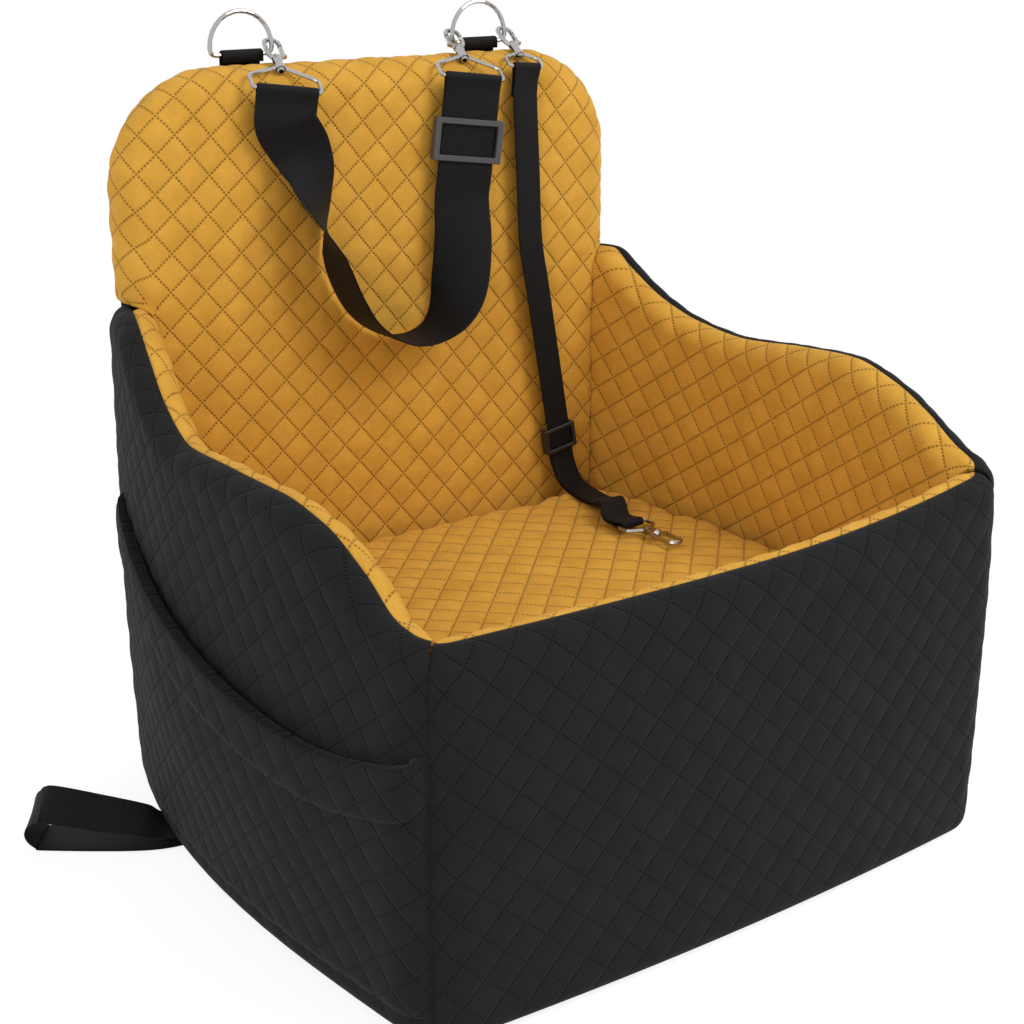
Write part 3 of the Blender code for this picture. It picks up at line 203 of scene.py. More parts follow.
def add_floor():
    """A white floor that keeps a faint shadow near the seat and none far from it."""
    bpy.ops.mesh.primitive_plane_add(size=FLOOR_SIZE, location=(0.0, 0.0, FLOOR_Z))
    floor = bpy.context.object
    floor.name = "floor"
    finish = bpy.data.materials.new("floor")
    finish.use_nodes = True
    tree = finish.node_tree
    tree.nodes.remove(tree.nodes["Principled BSDF"])
    place = object_place(tree)
    length = tree.nodes.new("ShaderNodeVectorMath")
    length.operation = "LENGTH"
    link(tree, place, length.inputs[0])
    near = smooth_step(tree, length.outputs["Value"], SHADE_FAR, SHADE_NEAR)
    seen = seen_directly(tree)
    shade = math_node(tree, "MULTIPLY", near, FLOOR_SHADE)
    dull = math_node(tree, "MULTIPLY_ADD", seen, math_node(tree, "SUBTRACT", shade, 1.0), 1.0)
    cloth = tree.nodes.new("ShaderNodeBsdfDiffuse")
    tone = tree.nodes.new("ShaderNodeCombineColor")
    for socket in tone.inputs[:3]:
        link(tree, math_node(tree, "MULTIPLY", dull, FLOOR_WHITE), socket)
    link(tree, tone.outputs[0], cloth.inputs["Color"])
    glow = tree.nodes.new("ShaderNodeEmission")
    glow.inputs["Color"].default_value = (1.0, 1.0, 1.0, 1.0)
    lit = math_node(tree, "MULTIPLY_ADD", near, FLOOR_GLOW - 1.0, 1.0)
    link(tree, math_node(tree, "MULTIPLY", seen, lit), glow.inputs["Strength"])
    both = tree.nodes.new("ShaderNodeAddShader")
    link(tree, cloth.outputs[0], both.inputs[0])
    link(tree, glow.outputs[0], both.inputs[1])
    link(tree, both.outputs[0], tree.nodes["Material Output"].inputs["Surface"])
    floor.data.materials.append(finish)


# Materials

CELL = {"mustard": (0.0305, 0.0305), "black": (0.0320, 0.0320)}
STITCHES_PER_SIDE = 7
HOLE = 0.0008
GROOVE = 0.0016


def new_finish(name, colour, roughness, metallic=0.0):
    finish = bpy.data.materials.new(name)
    finish.use_nodes = True
    shader = finish.node_tree.nodes["Principled BSDF"]
    shader.inputs["Base Color"].default_value = (*colour, 1.0)
    shader.inputs["Roughness"].default_value = roughness
    shader.inputs["Metallic"].default_value = metallic
    return finish, finish.node_tree, shader


def noise_node(tree, where, scale, detail=2.0, rough=0.5):
    node = tree.nodes.new("ShaderNodeTexNoise")
    node.inputs["Scale"].default_value = scale
    node.inputs["Detail"].default_value = detail
    node.inputs["Roughness"].default_value = rough
    link(tree, where, node.inputs["Vector"])
    return node.outputs["Fac"]


def smooth_step(tree, value, low, high):
    node = tree.nodes.new("ShaderNodeMapRange")
    node.interpolation_type = "SMOOTHSTEP"
    node.inputs["From Min"].default_value = low
    node.inputs["From Max"].default_value = high
    link(tree, value, node.inputs["Value"])
    return node.outputs["Result"]


def mix_colour(tree, share, first, second):
    node = tree.nodes.new("ShaderNodeMix")
    node.data_type = "RGBA"
    link(tree, share, node.inputs[0])
    for socket, value in ((node.inputs[6], first), (node.inputs[7], second)):
        if isinstance(value, tuple):
            socket.default_value = (*value, 1.0)
        else:
            link(tree, value, socket)
    return node.outputs[2]


def bump(tree, height, distance, strength=1.0, before=None):
    node = tree.nodes.new("ShaderNodeBump")
    node.inputs["Distance"].default_value = distance
    node.inputs["Strength"].default_value = strength
    link(tree, height, node.inputs["Height"])
    if before is not None:
        link(tree, before, node.inputs["Normal"])
    return node.outputs["Normal"]


def flat_place(tree, layer):
    """The cloth's own flat coordinates in metres, as two sockets."""
    node = tree.nodes.new("ShaderNodeUVMap")
    node.uv_map = layer
    split = tree.nodes.new("ShaderNodeSeparateXYZ")
    link(tree, node.outputs[0], split.inputs[0])
    return node.outputs[0], split.outputs[0], split.outputs[1]


def nearest(tree, value):
    """Distance of value from the nearest whole number."""
    moved = math_node(tree, "FRACT", math_node(tree, "ADD", value, 0.5))
    return math_node(tree, "ABSOLUTE", math_node(tree, "SUBTRACT", moved, 0.5))


def quilt_marks(tree, along, up, cell):
    """(needle holes, grooves) of the diamond stitching, each 0 to 1; they set the bump and the painted shade
    of the stitching.
    """
    wide, high = cell
    line_gap = 1 / math.hypot(1 / wide, 1 / high)
    stitch = math.hypot(wide, high) / 2 / STITCHES_PER_SIDE
    ratio_x = math_node(tree, "DIVIDE", along, wide)
    ratio_y = math_node(tree, "DIVIDE", up, high)
    rising = math_node(tree, "ADD", ratio_x, ratio_y)
    falling = math_node(tree, "SUBTRACT", ratio_x, ratio_y)
    holes = None
    grooves = None
    for across_value, along_value in ((rising, falling), (falling, rising)):
        off = math_node(tree, "MULTIPLY", nearest(tree, across_value), line_gap)
        step = nearest(tree, math_node(tree, "MULTIPLY", along_value, STITCHES_PER_SIDE))
        step = math_node(tree, "MULTIPLY", step, stitch)
        squares = math_node(tree, "MULTIPLY_ADD", off, off, math_node(tree, "MULTIPLY", step, step))
        round_off = math_node(tree, "SQRT", squares)
        hole = smooth_step(tree, round_off, HOLE * 1.5, HOLE * 0.5)
        groove = smooth_step(tree, off, GROOVE, 0.0)
        holes = hole if holes is None else math_node(tree, "MAXIMUM", holes, hole)
        grooves = groove if grooves is None else math_node(tree, "MAXIMUM", grooves, groove)
    return holes, grooves


def quilted_finish(name, cell, colour, shade, crease_shade, roughness, sheen, sheen_tint, gloss):
    """Brushed velvet or woven cover cloth, quilted in diamonds with a line of needle holes, with painted
    shade darkening the base colour in the grooves and holes.
    """
    finish, tree, shader = new_finish(name, colour, roughness)
    _, along, up = flat_place(tree, "quilt")
    place = object_place(tree)
    holes, grooves = quilt_marks(tree, along, up, cell)
    nap = noise_node(tree, place, 38.0, 3.0, 0.55)
    fuzz = noise_node(tree, place, 900.0, 2.0, 0.6)
    brushed = math_node(tree, "MULTIPLY_ADD", fuzz, 0.35, math_node(tree, "MULTIPLY", nap, 0.65))
    cloth = mix_colour(tree, smooth_step(tree, brushed, 0.30, 0.72), shade, colour)
    # Painted shade: the base colour is darkened in the stitching grooves, and more in the needle holes, as
    # shade in those hollows.
    groove_painted_shade = mix_colour(tree, math_node(tree, "MULTIPLY", grooves, 0.12), cloth, crease_shade)
    hole_painted_shade = mix_colour(tree, math_node(tree, "MULTIPLY", holes, 0.85), groove_painted_shade, crease_shade)
    link(tree, hole_painted_shade, shader.inputs["Base Color"])
    shader.inputs["Sheen Weight"].default_value = sheen
    shader.inputs["Sheen Roughness"].default_value = 0.45
    shader.inputs["Sheen Tint"].default_value = (*sheen_tint, 1.0)
    shader.inputs["Specular IOR Level"].default_value = gloss
    sunk = math_node(tree, "MULTIPLY_ADD", holes, 0.6, math_node(tree, "MULTIPLY", grooves, 0.4))
    normal = bump(tree, math_node(tree, "SUBTRACT", 1.0, sunk), 0.0012, 0.9)
    normal = bump(tree, fuzz, 0.00035, 0.35, normal)
    link(tree, normal, shader.inputs["Normal"])
    return finish


RIB_PITCH = 0.0015
CORD_PITCH = 0.0022


def threads_node(tree, where, direction, pitch):
    """Parallel threads; a wave texture at scale 1 has a wave every pi tenths of a metre."""
    node = tree.nodes.new("ShaderNodeTexWave")
    node.wave_type = "BANDS"
    node.bands_direction = direction
    node.inputs["Scale"].default_value = math.pi / 10 / pitch
    link(tree, where, node.inputs["Vector"])
    return node.outputs["Fac"]


def webbing_finish(name, colour, shine):
    """Ribbed polyester webbing with a woven edge."""
    finish, tree, shader = new_finish(name, colour, 0.60)
    shader.inputs["Specular IOR Level"].default_value = 0.14
    where, _, _ = flat_place(tree, "weave")
    ribs = threads_node(tree, where, "Y", RIB_PITCH)
    cords = threads_node(tree, where, "X", CORD_PITCH)
    weave = math_node(tree, "MULTIPLY_ADD", ribs, 0.6, math_node(tree, "MULTIPLY", cords, 0.4))
    thread = noise_node(tree, where, 700.0, 2.0)
    light = tuple(value * 2.2 for value in colour)
    tone = math_node(tree, "MULTIPLY", math_node(tree, "ADD", weave, thread), 0.5)
    link(tree, mix_colour(tree, tone, colour, light), shader.inputs["Base Color"])
    shader.inputs["Sheen Weight"].default_value = shine
    shader.inputs["Sheen Roughness"].default_value = 0.35
    link(tree, bump(tree, weave, 0.0004, 0.6), shader.inputs["Normal"])
    return finish


def chrome_finish():
    finish, tree, shader = new_finish("scene_chrome", (0.44, 0.43, 0.42), 0.16, 1.0)
    place = object_place(tree)
    smear = noise_node(tree, place, 260.0, 3.0)
    rough = tree.nodes.new("ShaderNodeMapRange")
    rough.inputs["To Min"].default_value = 0.10
    rough.inputs["To Max"].default_value = 0.24
    link(tree, smear, rough.inputs["Value"])
    link(tree, rough.outputs["Result"], shader.inputs["Roughness"])
    return finish


def plastic_finish(name, colour, roughness):
    finish, tree, shader = new_finish(name, colour, roughness)
    place = object_place(tree)
    grain = noise_node(tree, place, 1500.0, 2.0)
    light = tuple(value * 1.35 for value in colour)
    link(tree, mix_colour(tree, grain, colour, light), shader.inputs["Base Color"])
    link(tree, bump(tree, grain, 0.0001, 0.5), shader.inputs["Normal"])
    return finish


def foam_finish():
    finish, tree, shader = new_finish("scene_foam", (0.80, 0.78, 0.66), 0.95)
    place = object_place(tree)
    cells = tree.nodes.new("ShaderNodeTexVoronoi")
    cells.inputs["Scale"].default_value = 900.0
    link(tree, place, cells.inputs["Vector"])
    tone = mix_colour(tree, cells.outputs["Distance"], (0.86, 0.84, 0.72), (0.62, 0.60, 0.50))
    link(tree, tone, shader.inputs["Base Color"])
    link(tree, bump(tree, cells.outputs["Distance"], 0.0006, 0.6), shader.inputs["Normal"])
    return finish


def plain_cloth_finish():
    """The close weave under the seat and on the floor lining."""
    finish, tree, shader = new_finish("scene_backing", (0.018, 0.018, 0.019), 0.9)
    place = object_place(tree)
    threads = noise_node(tree, place, 1400.0, 2.0)
    tone = mix_colour(tree, threads, (0.012, 0.012, 0.013), (0.035, 0.035, 0.037))
    link(tree, tone, shader.inputs["Base Color"])
    link(tree, bump(tree, threads, 0.0003, 0.6), shader.inputs["Normal"])
    return finish


# The darkest colour given to each quilted cloth is painted shade for its stitching grooves and needle holes.
MUSTARD = quilted_finish(
    "scene_mustard", CELL["mustard"],
    colour=(0.76, 0.405, 0.058), shade=(0.62, 0.315, 0.038), crease_shade=(0.27, 0.12, 0.012),
    roughness=0.85, sheen=0.22, sheen_tint=(1.0, 0.74, 0.32), gloss=0.20)
BLACK = quilted_finish(
    "scene_black", CELL["black"],
    colour=(0.0145, 0.0145, 0.0150), shade=(0.0105, 0.0105, 0.0110), crease_shade=(0.0025, 0.0025, 0.0028),
    roughness=0.92, sheen=0.04, sheen_tint=(1.0, 1.0, 1.0), gloss=0.15)
WEBBING = webbing_finish("scene_webbing", (0.0036, 0.0036, 0.0040), 0.02)
CHROME = chrome_finish()
DARK_PLASTIC = plastic_finish("scene_dark_plastic", (0.0130, 0.0130, 0.0140), 0.35)
GREY_PLASTIC = plastic_finish("scene_grey_plastic", (0.050, 0.050, 0.055), 0.38)
FOAM = foam_finish()
BACKING = plain_cloth_finish()
QUILTED = {"mustard": MUSTARD, "black": BLACK}

# Meshes


def steps(start, end, count):
    return [start + (end - start) * i / (count - 1) for i in range(count)]


def smooth(t):
    t = min(max(t, 0.0), 1.0)
    return t * t * (3 - 2 * t)


def soft_steps(values):
    values = np.clip(values, 0.0, 1.0)
    return values * values * (3 - 2 * values)


def put_flat(mesh, flat, layer="quilt"):
    """Gives each point of a mesh its place on the flat cloth."""
    uv = mesh.uv_layers.new(name=layer)
    corners = np.empty(len(mesh.loops), dtype=np.int32)
    mesh.loops.foreach_get("vertex_index", corners)
    uv.data.foreach_set("uv", np.asarray(flat, dtype=np.float32)[corners].ravel())


def fill_mesh(mesh, points, faces, flat, layer="quilt"):
    mesh.from_pydata([tuple(p) for p in points], [], faces)
    mesh.polygons.foreach_set("use_smooth", [True] * len(mesh.polygons))
    if flat is not None:
        put_flat(mesh, flat, layer)
    mesh.update()


def mesh_object(name, points, faces, finish, flat=None, layer="quilt"):
    """A mesh piece in the seat's own frame; flat gives each point its place on the flat cloth."""
    mesh = bpy.data.meshes.new(name)
    fill_mesh(mesh, points, faces, flat, layer)
    made = bpy.data.objects.new(name, mesh)
    made.data.materials.append(finish)
    bpy.context.scene.collection.objects.link(made)
    return made


def vertex_values(mesh, kind):
    values = np.empty(len(mesh.vertices) * 3)
    mesh.vertices.foreach_get(kind, values)
    return values.reshape(-1, 3)


def points_of(mesh):
    return vertex_values(mesh, "co")


def normals_of(mesh):
    return vertex_values(mesh, "normal")


def put_points(mesh, places):
    mesh.vertices.foreach_set("co", places.ravel())
    mesh.update()


def face_outward(made, outward):
    middle = made.data.polygons[len(made.data.polygons) // 2]
    if middle.normal.dot(Vector(outward)) < 0:
        made.data.flip_normals()
        made.data.update()


CLOTH = 0.0016
PUFF = 0.0016
OUTER_PUFF = 0.0011
SINK = 0.0008
BASE_FADE = 0.030
TUCK = 0.0016
SEAM_REACH = 0.010
TUCK_REACH = 0.006
WRINKLE = 0.0014


def puffs(flat, cell):
    """0 along the stitching, 1 in the middle of each diamond."""
    wide, high = cell
    rising = flat[:, 0] / wide + flat[:, 1] / high
    falling = flat[:, 0] / wide - flat[:, 1] / high
    lift = np.abs(np.sin(np.pi * rising) * np.sin(np.pi * falling))
    return lift ** 0.55


def wrinkles(places, seed):
    """Soft uneven waves in the cloth, from -1 to 1."""
    out = np.empty(len(places))
    offset = Vector((seed * 7.31, seed * 3.17, seed * 5.53))
    for i, (x, y, z) in enumerate(places):
        out[i] = noise.noise(Vector((x * 13.0, y * 13.0, z * 9.0)) + offset)
    return out


ALLOWANCE = ((0.0012, 0.0), (0.0060, 0.0009))


def turn_in(made, flat):
    """Folds the cloth inward along its open edges, as a seam allowance does."""
    mesh = made.data
    places = points_of(mesh)
    normals = normals_of(mesh)
    faces = [tuple(face.vertices) for face in mesh.polygons]
    walks = {(face[i - 1], face[i]) for face in faces for i in range(len(face))}
    open_edges = [(a, b) for a, b in walks if (b, a) not in walks]
    edge_points = sorted({point for pair in open_edges for point in pair})
    outward = np.zeros_like(places)
    for a, b in open_edges:
        beyond = np.cross(places[b] - places[a], normals[a])
        outward[a] += beyond
        outward[b] += beyond
    outward /= np.maximum(np.linalg.norm(outward, axis=1, keepdims=True), 1e-12)
    rows = [{point: point for point in edge_points}]
    parts, flat_parts = [places], [np.asarray(flat, dtype=float)]
    count = len(places)
    for depth, beyond in ALLOWANCE:
        rows.append({point: count + i for i, point in enumerate(edge_points)})
        count += len(edge_points)
        parts.append(places[edge_points] - normals[edge_points] * depth + outward[edge_points] * beyond)
        flat_parts.append(flat_parts[0][edge_points])
    for outer, inner in zip(rows, rows[1:]):
        faces += [(outer[b], outer[a], inner[a], inner[b]) for a, b in open_edges]
    mesh.clear_geometry()
    fill_mesh(mesh, np.concatenate(parts), faces, np.concatenate(flat_parts))


def quilt(made, flat, edge, kind, outward, seed, puff=PUFF):
    """Stands the diamonds proud of the stitching, tucks in the seams and gives the cloth thickness."""
    face_outward(made, outward)
    mesh = made.data
    places = points_of(mesh)
    free = soft_steps(np.asarray(edge) / SEAM_REACH)
    height = puff * puffs(np.asarray(flat), CELL[kind]) * free - SINK * free
    height += WRINKLE * wrinkles(places, seed) * free
    height *= soft_steps(places[:, 2] / BASE_FADE)
    height -= TUCK * (1 - soft_steps(np.asarray(edge) / TUCK_REACH))
    put_points(mesh, places + normals_of(mesh) * height[:, None])
    turn_in(made, flat)
    shell = made.modifiers.new("thickness", "SOLIDIFY")
    shell.thickness = CLOTH
    shell.offset = -1.0


def grid_faces(rows, columns):
    faces = []
    for i in range(rows - 1):
        for j in range(columns - 1):
            a = i * columns + j
            faces.append((a, a + 1, a + columns + 1, a + columns))
    return faces


def turned(flat, degrees):
    """Flat places turned in the cloth's plane, as the quilting lies askew on each panel."""
    cosine, sine = math.cos(math.radians(degrees)), math.sin(math.radians(degrees))
    return [(x * cosine + y * sine, y * cosine - x * sine) for x, y in flat]


def grid_panel(name, rows, flats, kind, outward, seed, askew, puff=PUFF, last_is_seam=True):
    """A quilted panel from rows of points; its sides are seams, the last row if last_is_seam."""
    count, width = len(rows), len(rows[0])
    points = [p for row in rows for p in row]
    flat = turned([f for row in flats for f in row], askew)
    made = mesh_object(name, points, grid_faces(count, width), QUILTED[kind], flat)
    array = np.array([[tuple(p) for p in row] for row in rows])
    across = np.linalg.norm(np.diff(array, axis=1), axis=2)
    along = np.linalg.norm(np.diff(array, axis=0), axis=2)
    from_left = np.concatenate([np.zeros((count, 1)), np.cumsum(across, axis=1)], axis=1)
    from_low = np.concatenate([np.zeros((1, width)), np.cumsum(along, axis=0)], axis=0)
    edge = np.minimum(from_left, from_left[:, -1:] - from_left)
    edge = np.minimum(edge, from_low)
    if last_is_seam:
        edge = np.minimum(edge, from_low[-1:, :] - from_low)
    quilt(made, flat, edge.ravel(), kind, outward, seed, puff)
    return made


def lengths_along(points):
    lengths = [0.0]
    for p, q in zip(points, points[1:]):
        lengths.append(lengths[-1] + (q - p).length)
    return lengths


def resample(points, count):
    """count points evenly spaced along a line of points, of any width."""
    array = np.asarray(points, dtype=float)
    lengths = np.concatenate([[0.0], np.cumsum(np.linalg.norm(np.diff(array[:, :2], axis=0), axis=1))])
    wanted = np.linspace(0.0, lengths[-1], count)
    return [tuple(np.interp(w, lengths, array[:, k]) for k in range(array.shape[1])) for w in wanted]


# Shape of the tub


def share_of(y):
    return (y - FRONT) / SEAT_DEPTH


def half_width(share):
    bulge = 4 * PLAN_BULGE * share * (1 - share) * (1 + PLAN_SKEW_SHARE * (share - 0.5))
    return HALF_FRONT + (HALF_REAR - HALF_FRONT) * share + bulge


def curve_through(places, values, where):
    """A smooth curve through (place, value) pairs that never overshoots them."""
    where = min(max(where, places[0]), places[-1])
    k = 0
    while k < len(places) - 2 and where > places[k + 1]:
        k += 1
    rates = [(values[i + 1] - values[i]) / (places[i + 1] - places[i]) for i in range(len(places) - 1)]

    def rate(i):
        if i == 0 or i == len(rates) or rates[i - 1] * rates[i] <= 0:
            return 0.0
        return 2 * rates[i - 1] * rates[i] / (rates[i - 1] + rates[i])

    span = places[k + 1] - places[k]
    t = (where - places[k]) / span
    start = values[k] * (1 + 2 * t) * (1 - t) ** 2 + rate(k) * span * t * (1 - t) ** 2
    end = values[k + 1] * t * t * (3 - 2 * t) - rate(k + 1) * span * t * t * (1 - t)
    return start + end


def wall_top(side, share):
    """Height of a side wall: low at the front, a soft hump, then a swoop up to the backrest."""
    crest_shares = LEFT_CREST_SHARES if side < 0 else RIGHT_CREST_SHARES
    return FRONT_HEIGHT + (REAR_HEIGHT - FRONT_HEIGHT) * curve_through(CREST_SHARES, crest_shares, share)


def front_top(share):
    """Height of the front wall, which rises towards its right end."""
    return FRONT_HEIGHT + (wall_top(1, 0.0) - FRONT_HEIGHT) * max(share, 0.0) ** 2


def bow(x, y):
    """How far the front of the tub bulges forward at one place."""
    across = min(abs(x) / half_width(share_of(y)), 1.0)
    back = (BOW_END_SHARE - share_of(y)) / BOW_END_SHARE
    return FRONT_BULGE * (1 - across**2) * smooth(back)


def soften(x, y, z):
    """Rounds the four upright corners of the tub and bows its front."""
    bowed = bow(x, y)
    front = y - FRONT < REAR - y
    radius = FRONT_CORNER if front else REAR_CORNER
    inward = half_width(share_of(y)) - abs(x)
    end = y - FRONT if front else REAR - y
    if inward < radius and end < radius:
        a = radius - inward
        b = radius - end
        shrink = max(a, b) / math.hypot(a, b)
        x -= math.copysign(a * (1 - shrink), x)
        y += b * (1 - shrink) if front else -b * (1 - shrink)
    return Vector((x, y - bowed, z))


BASE_TURNS = (15, 90)


def outer_profile(top, count):
    """(depth into the wall, height) up the outside, evenly spaced."""
    points = []
    for degrees in steps(*BASE_TURNS, 10):
        turn = math.radians(degrees)
        points.append((BASE_EDGE * (1 - math.sin(turn)), BASE_EDGE * (1 - math.cos(turn))))
    for t in steps(0, 1, 24)[1:-1]:
        height = BASE_EDGE + (top - CREST - BASE_EDGE) * t
        points.append((-SIDE_BELLY * math.sin(math.pi * t), height))
    for turn in steps(0, math.pi / 2, 16):
        points.append((CREST * (1 - math.cos(turn)), top - CREST + CREST * math.sin(turn)))
    return resample(points, count)


def inner_profile(top, bottom, count):
    """(depth, height) from bottom up the inside to the ridge, evenly spaced."""
    points = [(WALL, height) for height in steps(bottom, top - CREST, 12)]
    for turn in steps(0, math.pi / 2, 16)[1:]:
        points.append((CREST + CREST * math.cos(turn), top - CREST + CREST * math.sin(turn)))
    return resample(points, count)


LINING_LOW = FLOOR_HEIGHT + FIT
MITRE_GAP = -0.0002
MITRE_REACH = 0.050
LINING_TUCK = 0.006
SIDE_BELLY = 0.002
ASKEW = {"left": 6.0, "right": 10.0, "front": 3.0, "back": -5.5, "cushion": 1.0}
FINE = 0.0028


def wall_place(level, depth, outer):
    """Where a column that stands at level on the ridge lies at one depth: its ends run to the mitres."""
    front_end = FRONT + CREST + MITRE_GAP
    reach = FRONT + CREST + MITRE_REACH
    if level < reach:
        share = (level - front_end) / (reach - front_end)
        front = FRONT + depth + MITRE_GAP
        return front + (reach - front) * share
    rear_end = REAR - CREST - MITRE_GAP
    reach = REAR - CREST - MITRE_REACH
    if outer and level > reach:
        share = (rear_end - level) / (rear_end - reach)
        rear = REAR - min(max(depth, 0.0), CREST) - MITRE_GAP
        return rear - (rear - reach) * share
    return level


def side_panel(word, side, outer):
    """One cover or lining of a side wall, as columns from low to high."""
    end = REAR - CREST - MITRE_GAP if outer else BACK_FACE + LINING_TUCK
    levels = steps(FRONT + CREST + MITRE_GAP, end, int((end - FRONT - CREST) / FINE))
    rows_count = int((REAR_HEIGHT - (0 if outer else LINING_LOW)) / FINE)
    columns = []
    flats = []
    for level in levels:
        top = wall_top(side, share_of(level))
        profile = outer_profile(top, rows_count) if outer else inner_profile(top, LINING_LOW, rows_count)
        column = []
        flat = []
        for (depth, height), length_up in zip(profile, lengths_along([Vector(p) for p in profile])):
            if depth < 0:
                depth *= smooth((REAR - level) / BACKREST)
            y = wall_place(level, depth, outer)
            column.append(soften(side * (half_width(share_of(y)) - depth), y, height) + SHIFT)
            flat.append((y, length_up))
        columns.append(column)
        flats.append(flat)
    name = f"{word}_{'cover' if outer else 'inner_cloth'}"
    outward = (side, 0, 0) if outer else (-side, 0, 0)
    made = grid_panel(name, columns, flats, "black" if outer else "mustard", outward,
                      3 + side + 5 * outer, ASKEW[word], OUTER_PUFF if outer else PUFF, outer)
    settle(made, f"{word}_outer_cover" if outer else f"{word}_lining")


def settle(made, node):
    """Puts a panel of the tub on the seat in place of the node that it stands for."""
    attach(made, "seat")
    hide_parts(node)


def front_panel(outer):
    rows_count = int((FRONT_HEIGHT - (0 if outer else LINING_LOW)) / FINE)
    columns = []
    flats = []
    for share in steps(-1, 1, int(2 * HALF_FRONT / FINE)):
        top = front_top(share)
        profile = outer_profile(top, rows_count) if outer else inner_profile(top, LINING_LOW, rows_count)
        column = []
        flat = []
        for (depth, height), length_up in zip(profile, lengths_along([Vector(p) for p in profile])):
            reach = HALF_FRONT - depth - MITRE_GAP
            column.append(soften(reach * share, FRONT + depth, height) + SHIFT)
            flat.append((reach * share, length_up))
        columns.append(column)
        flats.append(flat)
    name = "front_cover" if outer else "front_inner_cloth"
    made = grid_panel(name, columns, flats, "black" if outer else "mustard", (0, -1 if outer else 1, 0),
                      17 + outer, ASKEW["front"], OUTER_PUFF if outer else PUFF)
    settle(made, "front_outer_cover" if outer else "front_lining")


# Backrest

SADDLE_PLAY = 0.0012
SADDLE_FILLET = 0.006
LEAST_SADDLE = 0.75
TURN_STEPS = 8


def rim_place(turn, radius=RIM):
    return BACK_MID + radius * math.sin(turn), RIM - radius * math.cos(turn)


def back_edge(inset, count):
    half = HALF_REAR - inset
    top = BACKREST_HEIGHT - inset
    radius = BACKREST_CORNER - inset
    points = []
    for turn in steps(0, math.pi / 2, count):
        points.append((-half + radius * (1 - math.cos(turn)), top - radius + radius * math.sin(turn)))
    return points


def saddle(y, inset, clear, count):
    """The left edge between the side walls, then over the end of the wall's crest."""
    half = half_width(share_of(y))
    reach = CREST + clear
    centre = REAR_HEIGHT - CREST
    edge = inset - HALF_REAR
    beyond = min(max(CREST - half - edge, -reach), SADDLE_FILLET)
    last = math.acos(min(max(-beyond / reach, 0.0), LEAST_SADDLE))
    points = [(-half + CREST + reach * math.cos(turn), centre + reach * math.sin(turn))
              for turn in steps(0, last, count)]
    end, top = points[-1]
    for t in (0.25, 0.5, 0.75, 1.0):
        points.append((end + (edge - end) * (1 - (1 - t) ** 2), top + SADDLE_FILLET * t * t))
    return points


def lining_edge(y, inset):
    over = saddle(y, inset, SADDLE_PLAY, 20)
    lower = [(over[0][0], z) for z in steps(LINING_LOW, over[0][1], 86)[:-1]]
    rounded = back_edge(inset, 46)
    straight = [(rounded[0][0], z) for z in steps(over[-1][1], rounded[0][1], 30)[1:-1]]
    return lower + over + straight + rounded


def cover_edge(y, inset):
    """The outline below BASE_EDGE is unrolled; round_base rolls it under."""
    rounded = back_edge(inset, 46)
    lowest = BASE_EDGE * (1 - math.radians(BASE_TURNS[1] - BASE_TURNS[0]))
    lower = [(rounded[0][0], z) for z in steps(lowest, BASE_EDGE, 9)[:-1]]
    lower += [(rounded[0][0], z) for z in steps(BASE_EDGE, rounded[0][1], 120)[:-1]]
    return lower + rounded


def round_base(x, y, z, turn):
    """Rolls the lowest part of the rim or of a face under the seat."""
    if z >= BASE_EDGE:
        return x, y, z
    roll = (BASE_EDGE - z) / BASE_EDGE
    depth = BASE_EDGE * (1 - math.cos(roll))
    x -= math.copysign(depth * math.cos(turn), x)
    return x, y - depth * math.sin(turn), BASE_EDGE * (1 - math.sin(roll))


ACROSS = 150


def rim_ring(edge_of, side_turn, top_turn):
    """Points (x, y, z, turn) round the rim; the turn changes from the sides to the top."""
    rings = []
    for turn in steps(side_turn, top_turn, TURN_STEPS + 1):
        y, inset = rim_place(turn)
        left = edge_of(y, inset)
        top = [(left[-1][0] * t, left[-1][1]) for t in steps(1, -1, ACROSS)[1:-1]]
        outline = left + top + [(-x, z) for x, z in reversed(left)]
        rings.append([(x, y, z, turn) for x, z in outline])
    places = np.array(rings)
    rise = (places[0, :, 2] - BACKREST_HEIGHT + BACKREST_CORNER) / BACKREST_CORNER
    where = soft_steps(rise) * TURN_STEPS
    low = np.minimum(where.astype(int), TURN_STEPS - 1)
    share = (where - low)[:, None]
    index = np.arange(places.shape[1])
    return places[low, index] * (1 - share) + places[low + 1, index] * share


